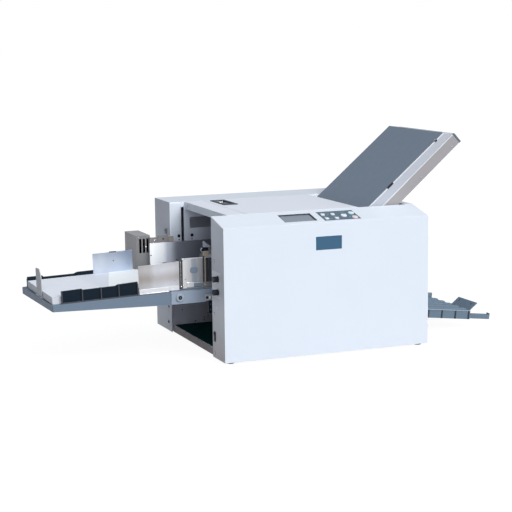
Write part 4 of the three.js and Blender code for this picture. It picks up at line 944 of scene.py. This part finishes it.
# the leaf lip, the lower band's left part and the strip along the inner leaf's top take the lighter steel (painted
# reflection); the thin strip over the band takes the lighter edge white (painted highlight)
fgp = [(leaf, 0), (leaf_lip, 1), (inner, 2), (band_a, 1), (band_b, 3), (box(-62.4, -16.4, 138.9, 139.3, 213.6, 215.2, 0.08), 12), (box(-62.4, -16.4, 139.0, 139.3, 201.3, 202.6, 0.08), 4), (plate_mark, 11), (arm, 5), (box(3.2, 30, 139.6, 141.2, 200.8, 214.6, 0.3), 8), (rail_hub(140, 160, 142.6, 163, 252, 272), 8),
       (rod("Z", (-84.0, 139.4), 2.2, 200, 281, 24), 4), (rod("Z", (-81.1, 138.6), 0.9, 203, 277, 12, 0.1), 6), (rod("Z", (-77.6, 139.8), 2.6, 200, 284, 24), 4),
       (box(-88, -76, 138.6, 141.6, 200.5, 205.5, 0.4), 4), (box(-88, -76, 138.6, 141.6, 274.5, 279.5, 0.4), 4),
       (box(-12.6, -8.6, 138.8, 142.2, 215, 290, 0.5), 4), (box(-68, 40, 140.2, 141.6, 284.8, 287.6, 0.3), 1),
       (rod("Z", (-5.2, 141.7), 1.6, 205, 292, 24), 7), (box(-2.2, 3.6, 140.6, 142.4, 215, 290, 0.4), 4),
       (box(-14.2, 3.2, 138.6, 149.6, 198.6, 214.6, 0.8), 8), (box(-9.9, 5.8, 139.6, 150, 288, 305, 1.0), 9), (rod("Y", (-2.0, 297), 2.6, 139.3, 140, 20, 0.2), 8),
       (box(-14.0, 5.6, 141.0, 155, 304.4, 314.4, 1.0), 10), (tube([(-13, 142, 313.5), (-16.5, 142, 312.5), (-17.6, 142, 307.5), (-15.5, 142, 303.8), (-10, 142, 303.2)], 1.0), 6),
       (tri, 6), (prism(fillet([(2, 296), (15, 296), (15, 312), (10, 317), (2, 317)], 1.0, 3, True), "Y", 147.4, 155.8, 0.6), 8)]
emit("front_side_guide_finished", merge(*fgp), ["flap_steel", "lip_steel_painted_reflection", "inner_steel", "panel_slate", "post_dark", "rear_steel_inner", "bright_steel", "brass", "brown_steel", "tan_plastic", "black_plastic", "blob_blue", "edge_painted_highlight"],
     "front_inner_guide", ("front_side_guide",))
# the rear inner guide's plate and foot take the near-white steel with painted light and shade along X
emit("rear_guide_foot", box(-72.6, -34, 451.5, 452.7, 223.2, 228.3, 0.1), "rear_steel_inner", "rear_inner_guide")
# a near-black dot at the lid's end flange: painted shade
emit("lid_end_screw", rod("X", (447.9, 399.3), 1.5, 49.7, 50.1, 20, 0.05), "hollow_painted_shade", "chassis")
finish_node("rear_side_guide", ["rear_steel_inner"], (FINE(0.25, 2, 2),))
emit("guide_rail_finished", rod("Y", (150, 262), 6, 94, 481, 40, 0.8), "bright_steel", "chassis", ("guide_cross_rail",))
# fasteners of the front guide
fg = [(screws([(-88.2, 138.35, 275.7, 2.2), (-82.6, 138.35, 277.4, 2.0), (-74.2, 140.9, 281.6, 2.0), (-69.4, 140.9, 285.6, 1.6), (-88.4, 138.35, 211.6, 2.2), (-79.9, 138.5, 206.5, 2.4), (-72.4, 138.9, 206.8, 1.9), (-72.4, 138.9, 200.6, 1.9),
                (-66.4, 140.2, 286, 1.7), (-27, 140.2, 286, 1.7), (-7, 138.6, 207, 2.2)], (0, -1, 0), 2), 1)]
fg += [(lathe(fillet([(z0, 0), (z0, 2.9), (z0 + 3.0, 2.9), (z0 + 3.0, 0)], 0.7, 3), "Z", (-78.2, 139.95), 28), 0) for z0 in (201, 281.3)]
emit("front_guide_fasteners", merge(*fg), ["dark_steel", "bright_steel"], "front_inner_guide")
op = [move(dup(SCREW), Matrix.Translation((u, 134.0, W + 3.0)) @ Matrix.Scale(1.6, 4)) for u in (-92, -60)]
emit("front_flap_rivets", move(merge(*op), OUTER), "bright_steel", "front_outer_guide")
# the rod at the rear plate's left edge is a near-black dot: painted shade
rg = [(screws([(12, 451.3, 234, 2.0), (112, 451.3, 284, 2.0)], (0, -1, 0), 2), 1), (rod("Y", (-70.6, 252.3), 2.1, 450.9, 451.5, 20, 0.1), 2)]
for x in (-63, 5, 44, 90):
    rg.append((lathe(fillet([(290, 0), (290, 1.9), (292.4, 1.9), (293.2, 0)], 0.6, 3), "Z", (x, 451.35), 24), 0))
emit("rear_guide_fasteners", merge(*rg), ["bright_steel", "dark_steel", "hollow_painted_shade"], "rear_inner_guide")

# ------------------------------------------------------------------------------------------------ side blower
def blower_paint(c, n):
    if c.y < 472.5 and (c.x > -66.5 or c.y < 469.5):
        return 3
    return 1 if (-109.5 < c.x < -69.5 and 470.6 < c.y < 588 and 207.5 < c.z < 310.5) else 4 if n.y < -0.9 else 0
# the blower's front faces take the darker grey (painted shade), the faces in its slot region are near-black (painted
# shade), and its rounded edges the lighter grey (painted highlight)
finish_node("side_blower", ["blower_paint", "hollow_painted_shade", "blower_edge_painted_highlight", "brown_steel", "blower_front_painted_shade"], (FINE(0.6, 2, 2.0, 2),), paint=blower_paint)
emit("side_blower_fittings", merge(
    (screws([(-95, 480, 313, 2.4), (-95, 580, 313, 2.4)], (0, 0, 1), 2.4), 0), (screws([(-56.6, 456.9, 297, 3.0), (-80.6, 469.9, 276.6, 3.0), (-104, 469.9, 309, 1.6), (-72, 469.9, 309, 1.6)], (0, -1, 0), 2.6), 0),
    (box(-46.5, -12.5, 455.0, 456.9, 289.6, 312.6, 0.8), 1), (box(-11.5, 3.6, 454.95, 456.9, 291.4, 303.4, 0.7), 2), (rod("Y", (-29, 301), 3.0, 454.86, 455.4, 24, 0.1), 3)),
     ["bright_steel", "brown_steel", "taupe", "post_dark"], "rear_inner_guide")

# ------------------------------------------------------------------------------------------------ rollers and drive
ROLL = 40.8
R2 = (372, 210)
pol = lambda c, d: (c[0] + ROLL * math.cos(rad(d)), c[1] + ROLL * math.sin(rad(d)))
R1 = pol(R2, 119)
R3 = pol(R2, -17)
R4 = pol(R3, 253)
for i, c in enumerate((R1, R2, R3, R4)):
    prof = [(88, 0), (88, 7.4), (88.6, 8), (104, 8), (104, 19.2), (104.8, 20)]
    for y in (190, 376):
        prof += [(y, 20), (y + 0.4, 18.5), (y + 7.6, 18.5), (y + 8, 20)]
    end = 514 if i == 1 else 497
    prof += [(469.2, 20), (470, 19.2), (470, 8), (end - 0.6, 8), (end, 7.4), (end, 0)]
    bm = lathe(prof, "Y", c, 64)
    for f in bm.faces:
        f.material_index = 1 if (f.calc_center_median().y < 104.1 or f.calc_center_median().y > 469.9) else 0
    n = f"fold_roller_{i + 1}"
    emit(n + "_finished", bm, ["roller_rubber", "bright_steel"], BODY[n], (n,))
    finish_node(f"roller_gear_{i + 1}", ["gear_plastic"], (FINE(0.25, 1, 0.8),))

def rim(c, r, y0, core=0.0):
    prof = [(y0 - 1.4, 8.3), (y0 - 1.4, r + 2.6), (y0, r + 2.6), (y0, r), (y0 + 12, r), (y0 + 12, r + 2.6), (y0 + 13.4, r + 2.6), (y0 + 13.4, 8.3)]
    return lathe(fillet(prof, 0.4, 2, True), "Y", c, 64, ring=True)
emit("roller_pulley_finished", rim(R2, 20, 499), "pulley_alloy", BODY["roller_pulley"], ("roller_pulley",))
M0 = (300, 110)
pm = lathe([(497.6, 0), (497.6, 14.2), (498, 14.6), (499, 14.6), (499, 12), (511, 12), (511, 14.6), (512, 14.6), (512.4, 14.2), (512.4, 5), (539.4, 5), (540, 4.4), (540, 0)], "Y", M0, 56)
emit("motor_pulley_finished", pm, "pulley_alloy", BODY["motor_pulley"], ("motor_pulley",))
finish_node("drive_belt", ["rubber"], (FINE(0.3, 1, 0.8),))
# drive motor: ribbed can on its foot
prof = [(516, 5.6), (516, 34), (517.5, 37)]
y = 524
while y < 590:
    prof += [(y, 38), (y + 3, 38), (y + 3.4, 36.4), (y + 5.6, 36.4)]
    y += 6
prof += [(592, 38), (598, 37), (600, 34), (600, 12), (598.5, 11), (598.5, 5.6)]
can = lathe(prof, "Y", M0, 72, ring=True)
foot = box(268, 332, 524, 592, 6.4, 78, 1.2)
emit("main_motor_finished", merge((can, 0), (foot, 0)), ["motor_paint"], BODY["main_motor"], ("main_motor",))
vb = merge((lathe(fillet([(23.9, 0), (23.9, 52), (82, 52), (82, 24), (76, 22), (104, 22), (104, 15), (98, 14), (98, 0)], 2.0, 4), "Z", (520, 330), 72), 0), (box(470, 521, 330, 400, 23.9, 66, 1.5), 0))
emit("vacuum_blower_finished", vb, ["fan_plastic"], BODY["vacuum_blower"], ("vacuum_blower",))
finish_node("power_inlet", ["black_plastic"], (FINE(0.4, 2, 2),))

# suction drum: bored sleeve on its shaft
dr = lathe([(92, 0), (92, 5.6), (92.4, 6), (176, 6), (176, 28.8), (177.2, 30), (396.8, 30), (398, 28.8), (398, 6), (483.6, 6), (484, 5.6), (484, 0)], "Y", (95, 238), 72)
holes = []
for y in (206, 260, 314, 368):
    for kk in range(6):
        a = kk * math.pi / 3 + math.pi / 8
        h = rod("Z", (0, 0), 4.5, 24, 34, 20, 0)
        holes.append(move(h, Matrix.Translation((95, y, 238)) @ Matrix.Rotation(math.pi / 2 - a, 4, "Y")))
dr = boolean(dr, merge(*holes))
emit("suction_drum_finished", dr, ["drum_alloy"], BODY["suction_drum"], ("suction_drum",))

# ------------------------------------------------------------------------------------------------ fold plates
E = (0.757, 0.653)
NN = (-0.653, 0.757)
def cover_paint(c, n):
    return 0 if (n.x * -0.65 + n.z * 0.76) > 0.9 else 1
# the fold plate cover's and frame's rounded edges take the lighter edge white: painted highlight
finish_node("fold_plate_1_cover", ["panel_slate", "strip_light", "edge_painted_highlight"], (FINE(0.7, 2, 1.5, 2),), paint=cover_paint)
finish_node("fold_plate_1_frame", ["band_grey", "edge_painted_highlight"], (FINE(0.7, 2, 1.5, 1),))
def en(e, n):
    return (e * 0.757 - n * 0.653, e * 0.653 + n * 0.757)
# the two thin white strips along the fold cover's lower edges are painted highlights
emit("fold_cover_side_lip", merge((prism([(652.7, 495.9), (788.2, 616.9), en(997.3, -51)], "Y", 106.5, 106.95), 0), (prism([(537.2, 392.0), (652.7, 495.6), en(669, -51), en(667.5, -51.5)], "Y", 106.5, 106.95), 2),
     (prism([en(668, -49.9), en(997.3, -49.9), en(997.3, -51.9), en(668, -51.9)], "Y", 106.2, 106.95, 0.1), 1),
     (prism([(488, 392.2), (757.2, 620.0), (758.4, 618.4), (490, 391.6)], "Y", 106.45, 106.98), 1)), ["strip_light", "key_white", "band_grey"], "chassis")
def lower_cap(bm):
    for v in bm.verts:
        if v.co.z * 0.757 - v.co.x * 0.653 > -60:
            v.co.x += 1.9
            v.co.z -= 2.2
    return bm
finish_node("fold_plate_1_end_cap", ["cap_slate"], (FINE(0.8, 3, 2),), work=lower_cap)
finish_node("fold_stop", ["drum_alloy"], (FINE(0.5, 2, 2),))
finish_node("fold_plate_2", ["frame_paint"], (FINE(0.4, 2, 2),))
fp = [(screws([(681, 106.95, 488, 3.0), (787, 106.95, 575.8, 3.0)], (0, -1, 0), 3.4), 3),
      (rod("Y", (730, 598.5), 4.5, 104.6, 107.1, 32, 0.8), 1), (rod("Y", (727, 600.5), 2.0, 104.3, 104.9, 20, 0.2), 3)]
# the slot mark on the fold cover's side is near-black: painted shade
sl = move(box(-12.5, 12.5, 106.3, 107.1, -3.4, 3.0, 0.2), Matrix.Translation((577, 0, 468.6)) @ Matrix.Rotation(-math.atan2(0.653, 0.757), 4, "Y"))
fp.append((sl, 2))
emit("fold_plate_fittings", merge(*fp), ["bright_steel", "knob_black", "hollow_painted_shade", "strip_light"], "chassis")

# ------------------------------------------------------------------------------------------------ delivery tray
# the trays' and stop flap's rounded edges and the tray's top lip take the lighter blue-grey: painted highlight
finish_node("delivery_tray", ["tray_plastic", "tray_edge_painted_highlight", "tray_rib"], (FINE(0.5, 2, 2, 1),), paint=lambda c, n: 2 if (c.y < 162.9 or (c.y < 164.1 and c.y > 163.2 and 0 > 1)) else 0)
finish_node("delivery_stop_flap", ["tray_plastic", "tray_edge_painted_highlight"], (FINE(0.4, 2, 2, 1),))
# painted shade: near-black discs in the stop flap's holes
emit("stop_flap_hole_painted_shade", move(merge(rod("Z", (28.2, 204.5), 3.05, -0.7, 0.8, 24, 0), rod("Z", (28.2, 280), 3.05, -0.7, 0.8, 24, 0)), FLAP), "hollow_painted_shade", "stop_flap")
finish_node("delivery_extension", ["tray_plastic", "tray_edge_painted_highlight"], (FINE(0.5, 2, 2, 1),))
emit("tray_top_lip", move(prism(fillet([(161.4, 3.4), (161.4, 5.5), (166, 6.0), (166, 3.4)], 0.5, 2, True), "X", 7, 235, 0.2), TRAY), "tray_edge_painted_highlight", "delivery_tray")

# ------------------------------------------------------------------------------------------------ nodes still shown
for n, o in frame["nodes"].items():
    if not o.hide_render:
        print("UNFINISHED NODE", n)
        o.data.materials.clear()
        o.data.materials.append(MAT.get(SLOT[n]) or MAT["frame_paint"])
